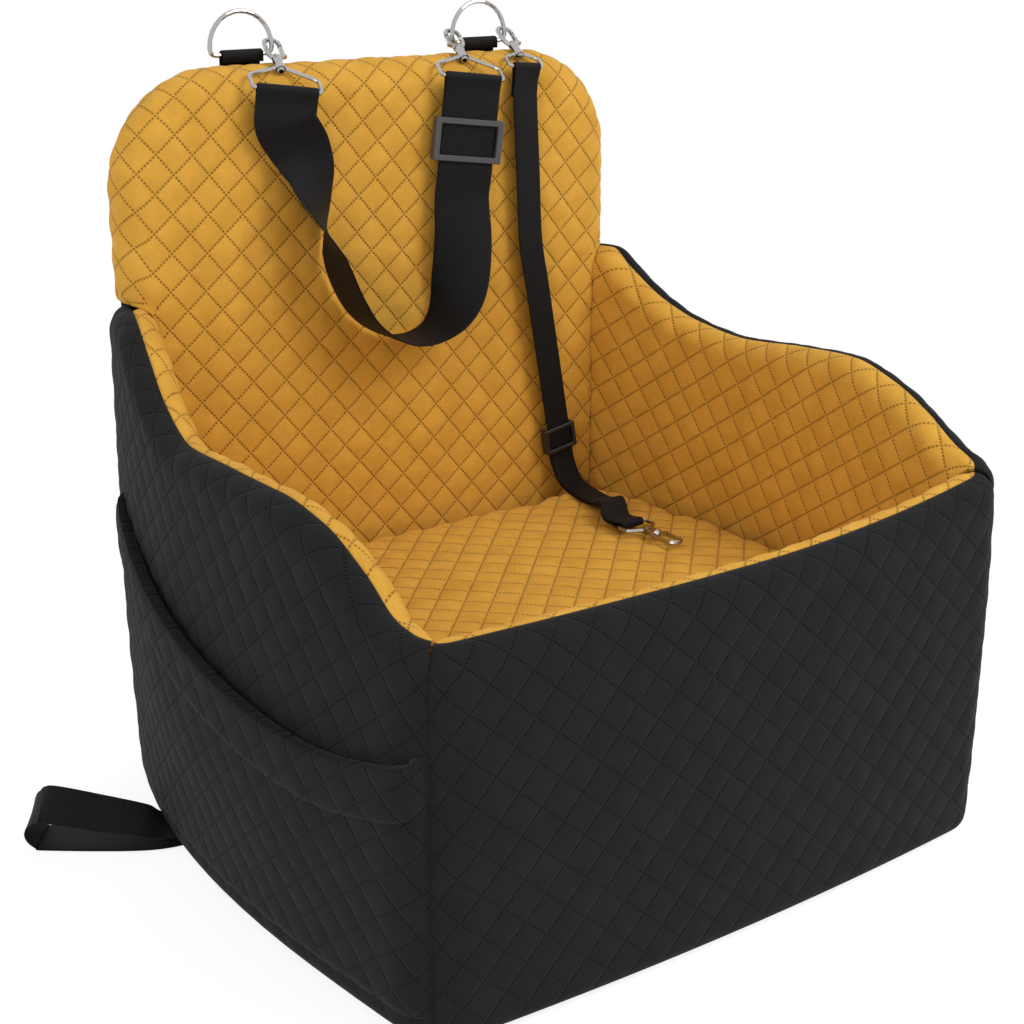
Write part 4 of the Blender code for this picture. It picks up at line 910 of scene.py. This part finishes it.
def sewn_face(name, edge_of, side_turns, top_turns, finish):
    """A face made of rows of points, with cloth that goes on round its rim."""
    y, inset = rim_place(side_turns[0])
    edge = edge_of(y, inset)
    points = []
    flat = []
    for x, z in edge:
        for t in steps(1, -1, ACROSS):
            points.append(round_base(x * t, y, z, math.pi / 2))
            flat.append((x * t, z))
    faces = grid_faces(len(edge), ACROSS)
    last = len(edge) - 1
    loop = [i * ACROSS for i in range(last)] + [last * ACROSS + j for j in range(ACROSS)]
    loop += [i * ACROSS + ACROSS - 1 for i in range(last - 1, -1, -1)]
    starts = [flat[i] for i in loop]
    outward = loop_normals(starts)
    edge_distance = [1.0] * len(points)
    for side_turn, top_turn in list(zip(side_turns, top_turns))[1:]:
        new = []
        ring = rim_ring(edge_of, side_turn, top_turn)
        for (x, y, z, turn), (s, t), (nx, nz) in zip(ring, starts, outward):
            arc = RIM * abs(turn - side_turns[0])
            share = (turn - side_turn) / (top_turn - side_turn) if top_turn != side_turn else 0.0
            end = side_turns[-1] + (top_turns[-1] - side_turns[-1]) * share
            new.append(len(points))
            points.append(round_base(x, y, z, turn))
            flat.append((s + nx * arc, t + nz * arc))
            edge_distance.append(RIM * abs(end - turn))
        for i in range(len(loop) - 1):
            faces.append((loop[i], loop[i + 1], new[i + 1], new[i]))
        loop = new
    places = [Vector(p) + SHIFT for p in points]
    flat = turned(flat, ASKEW["back"])
    made = mesh_object(name, places, faces, finish, flat)
    return made, flat, np.array(edge_distance)


def loop_normals(points):
    """The outward direction of an open outline that runs up the left side and down the right."""
    out = []
    for i in range(len(points)):
        a = points[max(i - 1, 0)]
        b = points[min(i + 1, len(points) - 1)]
        along = Vector((b[0] - a[0], b[1] - a[1])).normalized()
        out.append((-along.y, along.x))
    return out


SEAM_TURNS = (45.0, 28.3)
SEAM_TURN_GAP = 0.6


def rim_turns(start, gap, count):
    """The turns of each ring at the sides and at the top, from a face to just short of the seam."""
    return [[math.radians(degrees) for degrees in steps(start, end + gap, count)] for end in SEAM_TURNS]


def backrest_front():
    made, flat, edge = sewn_face("backrest_cloth", lining_edge, *rim_turns(-90, -SEAM_TURN_GAP, 18), MUSTARD)
    low = points_of(made.data)[:, 2] - LINING_LOW
    edge = np.minimum(edge, np.where(low < SEAM_REACH, low, 1.0))
    quilt(made, flat, edge, "mustard", (0, -1, 0), 29)
    settle(made, "backrest_lining")


def backrest_rear():
    made, flat, edge = sewn_face("rear_cover", cover_edge, *rim_turns(90, SEAM_TURN_GAP, 8), BLACK)
    quilt(made, flat, edge, "black", (0, 1, 0), 31, OUTER_PUFF)
    settle(made, "back_outer_cover")


# Cushion

CUSHION_LOW = FLOOR_HEIGHT + FIT
PAD_CORNER = 0.030
PAD_PLAY = 0.0025
PAD_DRAW = 0.004
PAD_VOXEL = 0.005
PAD_PRESSURE = 4.0
PAD_FRAMES = 20
PAD_SWELL = 0.006
PAD_PUFF = 0.0024


def cushion_loop(inset, count):
    """The cushion's plan outline, drawn in by inset, with round corners."""
    front = FRONT + WALL + PAD_PLAY + inset
    rear = BACK_FACE - PAD_PLAY - inset
    radius = PAD_CORNER
    turns = steps(0, math.pi / 2, 12)
    corner = [(radius * (1 - math.sin(turn)), radius * (1 - math.cos(turn))) for turn in turns]
    line = [(drawn, front + back) for drawn, back in corner]
    line += [(0.0, y) for y in steps(front + radius, rear - radius, 30)[1:-1]]
    line += [(drawn, rear - back) for drawn, back in reversed(corner)]
    right = [(half_width(share_of(y)) - WALL - PAD_PLAY - inset - drawn, y) for drawn, y in line]
    front_line = [(right[0][0] * t, front) for t in steps(-1, 1, 20)[1:-1]]
    loop = front_line + right + [(-x, y) for x, y in reversed(right)]
    loop = [(x, y - bow(x, y)) for x, y in loop]
    return resample(loop + loop[:1], count + 1)[:-1]


PAD_SHRINK = 0.004
PAD_POINTS = 300
PAD_LIFT = 0.0006


def pad_profile(shrink):
    """(inset, height) from the bottom's edge, up the drawn-in side and over the rounded top edge."""
    side_top = CUSHION_TOP - CUSHION_EDGE
    low = CUSHION_LOW + PAD_LIFT
    profile = [(shrink + 0.004, low), (shrink + 0.001, low + 0.003)]
    for t in steps(0, 1, 12)[1:-1]:
        profile.append((shrink + PAD_DRAW * math.sin(math.pi * t), low + (side_top - low) * t))
    for turn in steps(0, math.pi / 2, 10):
        reach = CUSHION_EDGE - shrink
        profile.append((CUSHION_EDGE - reach * math.cos(turn), side_top + reach * math.sin(turn)))
    return profile


def closed_pad(shrink):
    count = PAD_POINTS
    points = []
    faces = []
    profile = pad_profile(shrink)
    for inset, height in profile:
        points += [Vector((x, y, height)) + SHIFT for x, y in cushion_loop(inset, count)]
    for i in range(len(profile) - 1):
        for j in range(count):
            a = i * count + j
            b = i * count + (j + 1) % count
            faces.append((a, b, b + count, a + count))
    faces.append(tuple(range(count - 1, -1, -1)))
    faces.append(tuple((len(profile) - 1) * count + j for j in range(count)))
    return mesh_object("cushion", points, faces, MUSTARD)


def apply_all(made):
    graph = bpy.context.evaluated_depsgraph_get()
    mesh = bpy.data.meshes.new_from_object(made.evaluated_get(graph))
    made.modifiers.clear()
    old = made.data
    made.data = mesh
    bpy.data.meshes.remove(old)


def swell(made):
    """Blows the pad up from inside, with no point moving further than the cap."""
    before = points_of(made.data)
    cloth = made.modifiers.new("cloth", "CLOTH")
    cloth.settings.quality = 6
    cloth.settings.use_pressure = True
    cloth.settings.uniform_pressure_force = PAD_PRESSURE
    cloth.settings.effector_weights.gravity = 0.0
    cloth.point_cache.frame_end = PAD_FRAMES
    for frame_number in range(1, PAD_FRAMES + 1):
        bpy.context.scene.frame_set(frame_number)
    apply_all(made)
    bpy.context.scene.frame_set(1)
    after = points_of(made.data)
    moved = after - before
    length = np.linalg.norm(moved, axis=1, keepdims=True)
    moved *= np.minimum(1.0, PAD_SWELL / np.maximum(length, 1e-9))
    places = before + moved
    places[:, 2] = np.maximum(places[:, 2], CUSHION_LOW + PAD_LIFT)
    put_points(made.data, places)


def make_cushion():
    """The loose cushion, blown up by cloth simulation and then quilted."""
    made = closed_pad(PAD_SHRINK)
    remesh = made.modifiers.new("voxels", "REMESH")
    remesh.mode = "VOXEL"
    remesh.voxel_size = PAD_VOXEL
    apply_all(made)
    swell(made)
    finer = made.modifiers.new("finer", "SUBSURF")
    finer.levels = finer.render_levels = 1
    apply_all(made)
    mesh = made.data
    mesh.polygons.foreach_set("use_smooth", [True] * len(mesh.polygons))
    places = points_of(mesh)
    normals = normals_of(mesh)
    lift = 0.0
    top = soft_steps((normals[:, 2] - 0.2) / 0.6)
    places[:, 2] += lift * top
    drop = np.maximum(CUSHION_TOP - places[:, 2], 0.0)
    flat = places[:, :2] - np.array([SHIFT.x, SHIFT.y]) + normals[:, :2] * drop[:, None]
    flat = np.array(turned(flat, ASKEW["cushion"]))
    upward = soft_steps((normals[:, 2] + 0.3) / 0.3)
    height = PAD_PUFF * (puffs(flat, CELL["mustard"]) - 0.6) + WRINKLE * wrinkles(places, 41)
    put_points(mesh, places + normals * (height * upward)[:, None])
    put_flat(mesh, flat)
    mesh.materials.clear()
    mesh.materials.append(MUSTARD)
    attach(made, "seat")
    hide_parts("cushion_cover", "cushion_foam")


# Plain inner pieces

CORE_INSET = 0.005
SHARPEST = 3.0


def drawn_in(mesh, inset):
    """Moves every face of a closed mesh inwards by inset, sharp edges included."""
    shape = bmesh.new()
    shape.from_mesh(mesh)
    bmesh.ops.remove_doubles(shape, verts=shape.verts, dist=1e-6)
    shape.normal_update()
    moves = [vert.normal * inset * min(vert.calc_shell_factor(), SHARPEST) for vert in shape.verts]
    for vert, move in zip(shape.verts, moves):
        vert.co -= move
    shape.to_mesh(mesh)
    shape.free()


def core_piece(node, finish, inset=0.0):
    """A hidden inner solid, drawn in by inset so that the cloth's folds lie over it."""
    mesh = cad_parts[node].data.copy()
    if inset:
        drawn_in(mesh, inset)
    mesh.materials.clear()
    mesh.materials.append(finish)
    made = bpy.data.objects.new(f"{node}_inner", mesh)
    bpy.context.scene.collection.objects.link(made)
    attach(made, "seat")
    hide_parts(node)
    return made


# Pocket


def mouth_height(share):
    if share < MOUTH_LOW_SHARE:
        t = share / MOUTH_LOW_SHARE
        return MOUTH_LOW + (MOUTH_FRONT - MOUTH_LOW) * (1 - t) ** 2
    t = (share - MOUTH_LOW_SHARE) / (1 - MOUTH_LOW_SHARE)
    return MOUTH_LOW + (MOUTH_REAR - MOUTH_LOW) * t**MOUTH_POWER


def pocket_point(y, height, lift):
    share = share_of(y)
    top = wall_top(-1, share) - CREST
    out = SIDE_BELLY * math.sin(math.pi * (height - BASE_EDGE) / (top - BASE_EDGE)) + lift
    ahead = out * (1 - smooth((y - FRONT) / MITRE_REACH))
    return soften(-half_width(share) - out, y - ahead, height) + SHIFT


POCKET_ENDS = (FRONT + SEAM, BACK_FACE - FIT)
POCKET_LOW = 0.016
POCKET_DIVE = 0.014
POCKET_SINK = 0.0012
POCKET_ROUND = 0.8


def pocket_lift(y, t, thickness):
    """How far the pocket stands off the wall: it dives into its seams at both ends and at the bottom."""
    first, last = POCKET_ENDS
    across = math.sin(math.pi * min(max((y - first) / (last - first), 0.0), 1.0))
    near = min(y - first, last - y, t * (MOUTH_LOW - POCKET_LOW))
    seated = smooth(near / POCKET_DIVE)
    gap = POCKET_GAP * max(across, 0.0) ** POCKET_ROUND * smooth(t * POCKET_FILL)
    return gap + thickness * seated - POCKET_SINK * (1 - seated)


def pocket_piece(name, node, lowest, count, thickness, seed):
    """A layer of the pocket, from lowest(mouth) up to the mouth, that stands its thickness off the wall."""
    grid, flats = [], []
    for y in steps(*POCKET_ENDS, int((POCKET_ENDS[1] - POCKET_ENDS[0]) / FINE)):
        top = mouth_height(share_of(y))
        heights = steps(lowest(top), top, count)
        shares = [(height - POCKET_LOW) / (top - POCKET_LOW) for height in heights]
        grid.append([pocket_point(y, height, pocket_lift(y, t, thickness))
                     for height, t in zip(heights, shares)])
        flats.append([(y, height) for height in heights])
    made = grid_panel(name, grid, flats, "black", (-1, 0, 0), seed, ASKEW["left"], OUTER_PUFF)
    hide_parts(node)
    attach(made, "seat")


def make_pocket():
    pocket_piece("pocket", "left_pocket", lambda top: POCKET_LOW, 60, SKIN + 2 * FIT, 51)
    pocket_piece("pocket_hem", "left_pocket_hem", lambda top: top - HEM_HEIGHT, 16,
                 SKIN + HEM_SKIN + 4 * FIT, 52)


# Webbing


def curved(a, b, c, d, t):
    """A point between b and c of a smooth curve through a, b, c and d."""
    second = (2 * a - 5 * b + 4 * c - d) * t * t
    third = (3 * b - a - 3 * c + d) * t**3
    return 0.5 * (2 * b + (c - a) * t + second + third)


def spline(points, count):
    """count points evenly spaced on a smooth curve through the given points."""
    ends = [points[0] * 2 - points[1]] + list(points) + [points[-1] * 2 - points[-2]]
    fine = []
    for four in zip(ends, ends[1:], ends[2:], ends[3:]):
        fine += [curved(*four, i / 16) for i in range(16)]
    fine.append(points[-1].copy())
    lengths = lengths_along(fine)
    out = []
    k = 0
    for want in steps(0, lengths[-1], count):
        while k < len(fine) - 2 and lengths[k + 1] < want:
            k += 1
        span = lengths[k + 1] - lengths[k]
        t = (want - lengths[k]) / span if span else 0.0
        out.append(fine[k].lerp(fine[k + 1], t))
    return out


STRAP_ACROSS = (-1.0, -0.97, -0.90, -0.60, -0.30, 0.0, 0.30, 0.60, 0.90, 0.97, 1.0)


def strap(name, path, across, width):
    """Woven webbing along path, with selvedge edges that thin out; across is its width's direction."""
    rings = []
    flats = []
    travelled = 0.0
    for i, point in enumerate(path):
        if i:
            travelled += (point - path[i - 1]).length
        ahead = path[min(i + 1, len(path) - 1)] - path[max(i - 1, 0)]
        side = across[i] - ahead * (across[i].dot(ahead) / ahead.length_squared)
        side = side.normalized()
        up = side.cross(ahead).normalized()
        ring = []
        flat = []
        for face in (1, -1):
            for t in STRAP_ACROSS if face > 0 else reversed(STRAP_ACROSS):
                thin = 0.35 if abs(t) > 0.99 else 0.85 if abs(t) > 0.95 else 1.0
                lift = up * (WEB / 2 * thin * face)
                ring.append(point + side * (width / 2 * t) + lift + SHIFT)
                flat.append((width / 2 * t, travelled))
        rings.append(ring)
        flats.append(flat)
    size = len(rings[0])
    faces = []
    for i in range(len(rings) - 1):
        for j in range(size):
            k = (j + 1) % size
            faces.append((i * size + j, i * size + k, (i + 1) * size + k, (i + 1) * size + j))
    faces.append(tuple(range(size - 1, -1, -1)))
    faces.append(tuple((len(rings) - 1) * size + j for j in range(size)))
    points = [p for ring in rings for p in ring]
    flat = [f for row in flats for f in row]
    made = mesh_object(name, points, faces, WEBBING, flat, "weave")
    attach(made, "seat")
    return made


def denser(path, across, gap=0.0022):
    """More points on the same path, with the width's direction turned smoothly between them."""
    lengths = lengths_along(path)
    count = max(int(lengths[-1] / gap), len(path))
    new_path, new_across = [], []
    k = 0
    for want in steps(0, lengths[-1], count):
        while k < len(path) - 2 and lengths[k + 1] < want:
            k += 1
        a = path[max(k - 1, 0)]
        b, c = path[k], path[k + 1]
        d = path[min(k + 2, len(path) - 1)]
        span = lengths[k + 1] - lengths[k]
        t = (want - lengths[k]) / span if span else 0.0
        new_path.append(curved(a, b, c, d, t))
        new_across.append(across[k].lerp(across[k + 1], t))
    return new_path, new_across


def turn_round(centre, axis, start, radius, angle, count):
    return [centre + Matrix.Rotation(a, 3, axis) @ (start * radius) for a in steps(0, angle, count)]


TAB_TURN = math.radians(24)
RING_Y = BACK_MID + RIM * math.sin(TAB_TURN)
SEAM_Z = BACKREST_HEIGHT - RIM + RIM * math.cos(TAB_TURN)
RING_Z = BACKREST_HEIGHT + RING_RISE
FOLD = RING_WIRE + FIT + WEB / 2


def make_tab(word, x):
    centre = Vector((x, RING_Y, RING_Z))
    axis = Vector((1, 0, 0))
    low = SEAM_Z + SEAM
    front = Vector((x, RING_Y - FOLD, low + FOLD))
    back = Vector((x, RING_Y + FOLD, low - FOLD / 2))
    arc = turn_round(centre, axis, Vector((0, -1, 0)), FOLD, -math.pi, 15)
    path = [front] + arc + [back]
    made = strap(f"{word}_tab_web", path, [axis] * len(path), TAB_WIDTH)
    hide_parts(f"{word}_tab")


CATCH_Z = RING_Z + CATCH_RISE
SLOPE = math.radians(30.0)
CLAW_REACH = EYE_TOP - RING_WIRE - FIT * 3


def lean(sideways):
    return Vector((sideways, -math.cos(SLOPE), -math.sin(SLOPE))).normalized()


HOOKS = {
    "shoulder_left": (-TAB_SPACING + RING_HALF, lean(-0.26), WIDE_BAIL),
    "shoulder_right": (TAB_SPACING - RING_HALF, lean(-0.24), WIDE_BAIL),
    "tether_top": (TAB_SPACING + RING_HALF, lean(-0.16), NARROW_BAIL),
}
LOW_BAR = (0.146, 0.045)
LOW_HEADING = (0.08, -1.0, -0.02)
LAP = WEB + FIT * 2
NECK = 0.011
TAIL = 0.026
FOLD_BAIL = BAIL_WIRE + FIT + WEB / 2


def cushion_height(x, y):
    front = FRONT + WALL + CUSHION_PLAY
    rear = BACK_FACE - CUSHION_PLAY
    half = half_width(share_of(y)) - WALL - CUSHION_PLAY
    inset = min(half - abs(x), y - front, rear - y) - CUSHION_EDGE
    t = min(max(inset / (CUSHION_CORNER + CUSHION_EDGE), 0.0), 1.0)
    return CUSHION_TOP + CUSHION_CROWN * (1 - (1 - t) ** 2)


def bail_frame(word):
    if word == "tether_low":
        heading = Vector(LOW_HEADING).normalized()
        x, y = LOW_BAR
        centre = Vector((x, y, cushion_height(x, y) + BARREL + 2 * FIT))
        along = (Vector((1, 0, 0)) - heading * heading.x).normalized()
        return centre, along, -heading, along.cross(heading)
    catch_x, direction, drop = HOOKS[word]
    centre = Vector((catch_x, RING_Y, CATCH_Z)) + direction * (CLAW_REACH + drop)
    along = (Vector((1, 0, 0)) - direction * direction.x).normalized()
    down = Vector((0, 0, -1))
    down = (down - along * down.dot(along)).normalized()
    return centre, along, down, along.cross(down)


def fold(word, tail):
    centre, _, down, back = bail_frame(word)
    points = []
    if tail:
        points.append(centre + down * TAIL + back * (LAP / 2))
        points.append(centre + down * NECK + back * (LAP / 2))
    for turn in steps(0, math.pi, 9):
        points.append(centre + back * (FOLD_BAIL * math.cos(turn)) - down * (FOLD_BAIL * math.sin(turn)))
    return points


def after_fold(word, reach):
    centre, _, down, back = bail_frame(word)
    return centre + down * reach - back * (LAP / 2)


BAR_NEAR = LAP + WEB / 2 + FIT * 1.5
BAR_DEEP = 0.0020
BAR_HALF = 0.0025
WRAP = (BAR_DEEP + WEB) / 2 + FIT * 1.5
WRAP_BACK = 0.010


def return_end(place, along, normal):
    middle = BAR_NEAR + BAR_DEEP / 2
    points = []
    for turn in steps(0, math.pi, 7):
        off = middle - WRAP * math.cos(turn)
        points.append(place + normal * off - along * (BAR_HALF + WRAP * math.sin(turn)))
    points.append(place + normal * (middle + WRAP) + along * WRAP_BACK)
    return points


SHOULDER_SLIDER_HEIGHT = 0.036
SHOULDER_SLIDER_DROP = 0.052
TETHER_SLIDER_HEIGHT = 0.024
TETHER_SLIDER_Z = 0.236

SHOULDER_ROUTE = [
    (-0.0880, 0.1790, 0.5150, 0),
    (-0.0820, 0.1750, 0.4850, 30),
    (-0.0770, 0.1700, 0.4580, 62),
    (-0.0720, 0.1670, 0.4370, 84),
    (-0.0620, 0.1660, 0.4080, 90),
    (-0.0450, 0.1655, 0.3800, 90),
    (-0.0200, 0.1650, 0.3620, 90),
    (0.0040, 0.1650, 0.3570, 90),
    (0.0280, 0.1655, 0.3630, 97),
    (0.0440, 0.1665, 0.3800, 116),
    (0.0530, 0.1690, 0.4060, 142),
    (0.0590, 0.1735, 0.4400, 160),
]
SLIDER_STRETCH = (0.104, 0.088, 0.060, 0.034, NECK)

TETHER_RUN_HIGH = (0.1380, 0.1835, 0.4250)
TETHER_RUN_LOW = (0.1756, 0.1835, 0.2170)
RUN_END_SHARE = 0.94
TETHER_LANDING = [
    (0.1786, 0.1765, 0.0085),
    (0.1765, 0.1600, 0.0020),
    (0.1720, 0.1400, 0.0000),
    (0.1675, 0.1180, 0.0000),
    (0.1630, 0.1030, 0.0040),
    (0.1580, 0.0900, 0.0095),
    (0.1530, 0.0790, 0.0090),
    (0.1485, 0.0700, 0.0050),
]


def turned_across(degrees):
    turn = math.radians(degrees)
    return Vector((math.cos(turn), math.sin(turn), 0.0))


def plan_degrees(along):
    return math.degrees(math.atan2(along.y, along.x))


def back_side(path, across, i):
    ahead = path[min(i + 1, len(path) - 1)] - path[max(i - 1, 0)]
    return across[i].cross(ahead).normalized()


def guided(guide, count):
    scale = 10000
    fine = spline([Vector((x, y, z, degrees / scale)) for x, y, z, degrees in guide], count)
    return [p.to_3d() for p in fine], [p.w * scale for p in fine]


def make_shoulder():
    start = fold("shoulder_left", True)
    left_along = bail_frame("shoulder_left")[1]
    centre, right_along, down, back = bail_frame("shoulder_right")
    guide = [(*after_fold("shoulder_left", reach), plan_degrees(left_along)) for reach in (NECK, TAIL)]
    guide += SHOULDER_ROUTE
    for reach in SLIDER_STRETCH:
        guide.append((*after_fold("shoulder_right", reach), plan_degrees(-right_along)))
    places, turns = guided(guide, 34)
    end = list(reversed(fold("shoulder_right", False)))
    path = start + places + end
    across = [left_along] * len(start) + [turned_across(turn) for turn in turns] + [-right_along] * len(end)
    path, across = denser(path, across)
    made = strap("shoulder_strap", path, across, SHOULDER_WIDTH)
    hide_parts("shoulder_webbing")
    place = centre + down * SHOULDER_SLIDER_DROP - back * (LAP / 2)
    loop = [centre + back * FOLD_BAIL + down * FIT, centre + back * (LAP / 2) + down * NECK]
    loop.append(place + back * LAP - down * SHOULDER_SLIDER_HEIGHT / 2)
    loop += return_end(place, -down, back)
    loop_path, loop_across = denser(loop, [-right_along] * len(loop), 0.0012)
    doubled = strap("shoulder_strap_end", loop_path, loop_across, SHOULDER_WIDTH)
    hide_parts("shoulder_webbing_return")


def lying(x, y, lift):
    inner = x - TETHER_WIDTH / 2
    return Vector((x, y, cushion_height(inner, y) + LAP + WEB / 2 + FIT + lift))


def make_tether():
    start = fold("tether_top", True)
    top_along = bail_frame("tether_top")[1]
    centre, low_along, away, below = bail_frame("tether_low")
    high, low = Vector(TETHER_RUN_HIGH), Vector(TETHER_RUN_LOW)
    guide = [(*after_fold("tether_top", NECK), 0), (*after_fold("tether_top", TAIL), 0)]
    guide.append((*after_fold("tether_top", TAIL).lerp(high, 0.5), 0))
    guide += [(*high.lerp(low, t), 0) for t in steps(0, 1, 6)[:-1] + [RUN_END_SHARE, 1.0]]
    guide += [(*lying(*place), 0) for place in TETHER_LANDING]
    guide += [(*after_fold("tether_low", reach), 0) for reach in (NECK * 1.6, NECK)]
    places, _ = guided(guide, 58)
    end = list(reversed(fold("tether_low", False)))
    path = start + places + end
    side = Vector((1, 0, 0))
    across = [top_along] * len(start) + [side] * len(places) + [low_along] * len(end)
    slider_low = TETHER_SLIDER_Z - TETHER_SLIDER_HEIGHT / 2
    behind = [path[i] + back_side(path, across, i) * LAP
              for i in range(len(start), len(start) + len(places)) if path[i].z < slider_low]
    along = (high - low).normalized()
    place = low + along * ((TETHER_SLIDER_Z - low.z) / along.z)
    normal = along.cross(side).normalized()
    loop = [centre + below * FOLD_BAIL + away * FIT] + list(reversed(behind))
    sides = [-side] * len(loop)
    loop += return_end(place, -along, normal)
    level = (side - along * side.dot(along)).normalized()
    sides += [-level] * (len(loop) - len(sides))
    path, across = denser(path, across)
    made = strap("tether_strap", path, across, TETHER_WIDTH)
    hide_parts("tether_webbing")
    loop, sides = denser(loop, sides, 0.0012)
    doubled = strap("tether_strap_end", loop, sides, TETHER_WIDTH)
    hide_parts("tether_webbing_return")


LOOP_ROOT = (-0.2610, 0.1013)
LOOP_BEND = (-0.2950, 0.1120)
LOOP_FAR = (-0.3560, 0.1560)
LOOP_RISE = 0.0300
LOOP_DROOP = 0.35


def make_loop():
    low = FIT + WEB / 2
    root, bend, far = (Vector((x, y, 0.0)) for x, y in (LOOP_ROOT, LOOP_BEND, LOOP_FAR))
    heading = (far - bend).normalized()
    rise = Vector((0, 0, 1))
    radius = LOOP_RISE / 2
    guide = [root + rise * low, bend + rise * low, far + rise * low]
    centre = far + rise * (low + radius)
    for turn in steps(-math.pi / 2, math.pi / 2, 7)[1:]:
        guide.append(centre + heading * (radius * math.cos(turn)) + rise * (radius * math.sin(turn)))
    guide.append(far.lerp(bend, 0.5) + rise * (low + LOOP_RISE * 0.76))
    guide.append(bend + rise * (low + LOOP_RISE * 0.52))
    guide.append(root.lerp(bend, 0.5) + rise * (low + LOOP_RISE * 0.28))
    guide.append(root + rise * (low + WEB + FIT))
    path = spline(guide, 120)
    across = []
    for point in path:
        t = smooth((root.x - point.x) / (root.x - bend.x))
        droop = LOOP_DROOP * t * smooth((point.z - low) / LOOP_RISE)
        across.append(Vector((0, 1, 0)).lerp(Vector((-heading.y, heading.x, 0)) * -1, t) + rise * droop)
    made = strap("anchor_strap", path, across, LOOP_WIDTH)
    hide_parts("anchor_loop")


# Hardware keeps its modelled shape and gets its finish


def dress(node, finish):
    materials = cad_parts[node].data.materials
    materials.clear()
    materials.append(finish)


def dress_hardware():
    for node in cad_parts:
        if node.endswith(("_ring", "_hook", "_gate", "_gate_pin", "_bail")):
            dress(node, CHROME)
    dress("shoulder_slider", GREY_PLASTIC)
    dress("tether_slider", DARK_PLASTIC)


add_camera()
add_room()
add_floor()
for lamp in LAMPS:
    add_lamp(*lamp)

make_shoulder()
make_tether()
make_loop()
for word, x in (("left", -TAB_SPACING), ("right", TAB_SPACING)):
    make_tab(word, x)
for word, side in (("left", -1), ("right", 1)):
    for outer in (True, False):
        side_panel(word, side, outer)
for outer in (True, False):
    front_panel(outer)
backrest_front()
backrest_rear()
make_cushion()
make_pocket()
for node in ("left_wall_foam", "right_wall_foam", "front_wall_foam", "backrest_foam", "base_foam"):
    core_piece(node, FOAM, CORE_INSET)
for node in ("bottom_panel", "floor_lining", "cushion_bottom_panel"):
    core_piece(node, BACKING)
dress_hardware()

bpy.context.scene.view_settings.view_transform = "Standard"
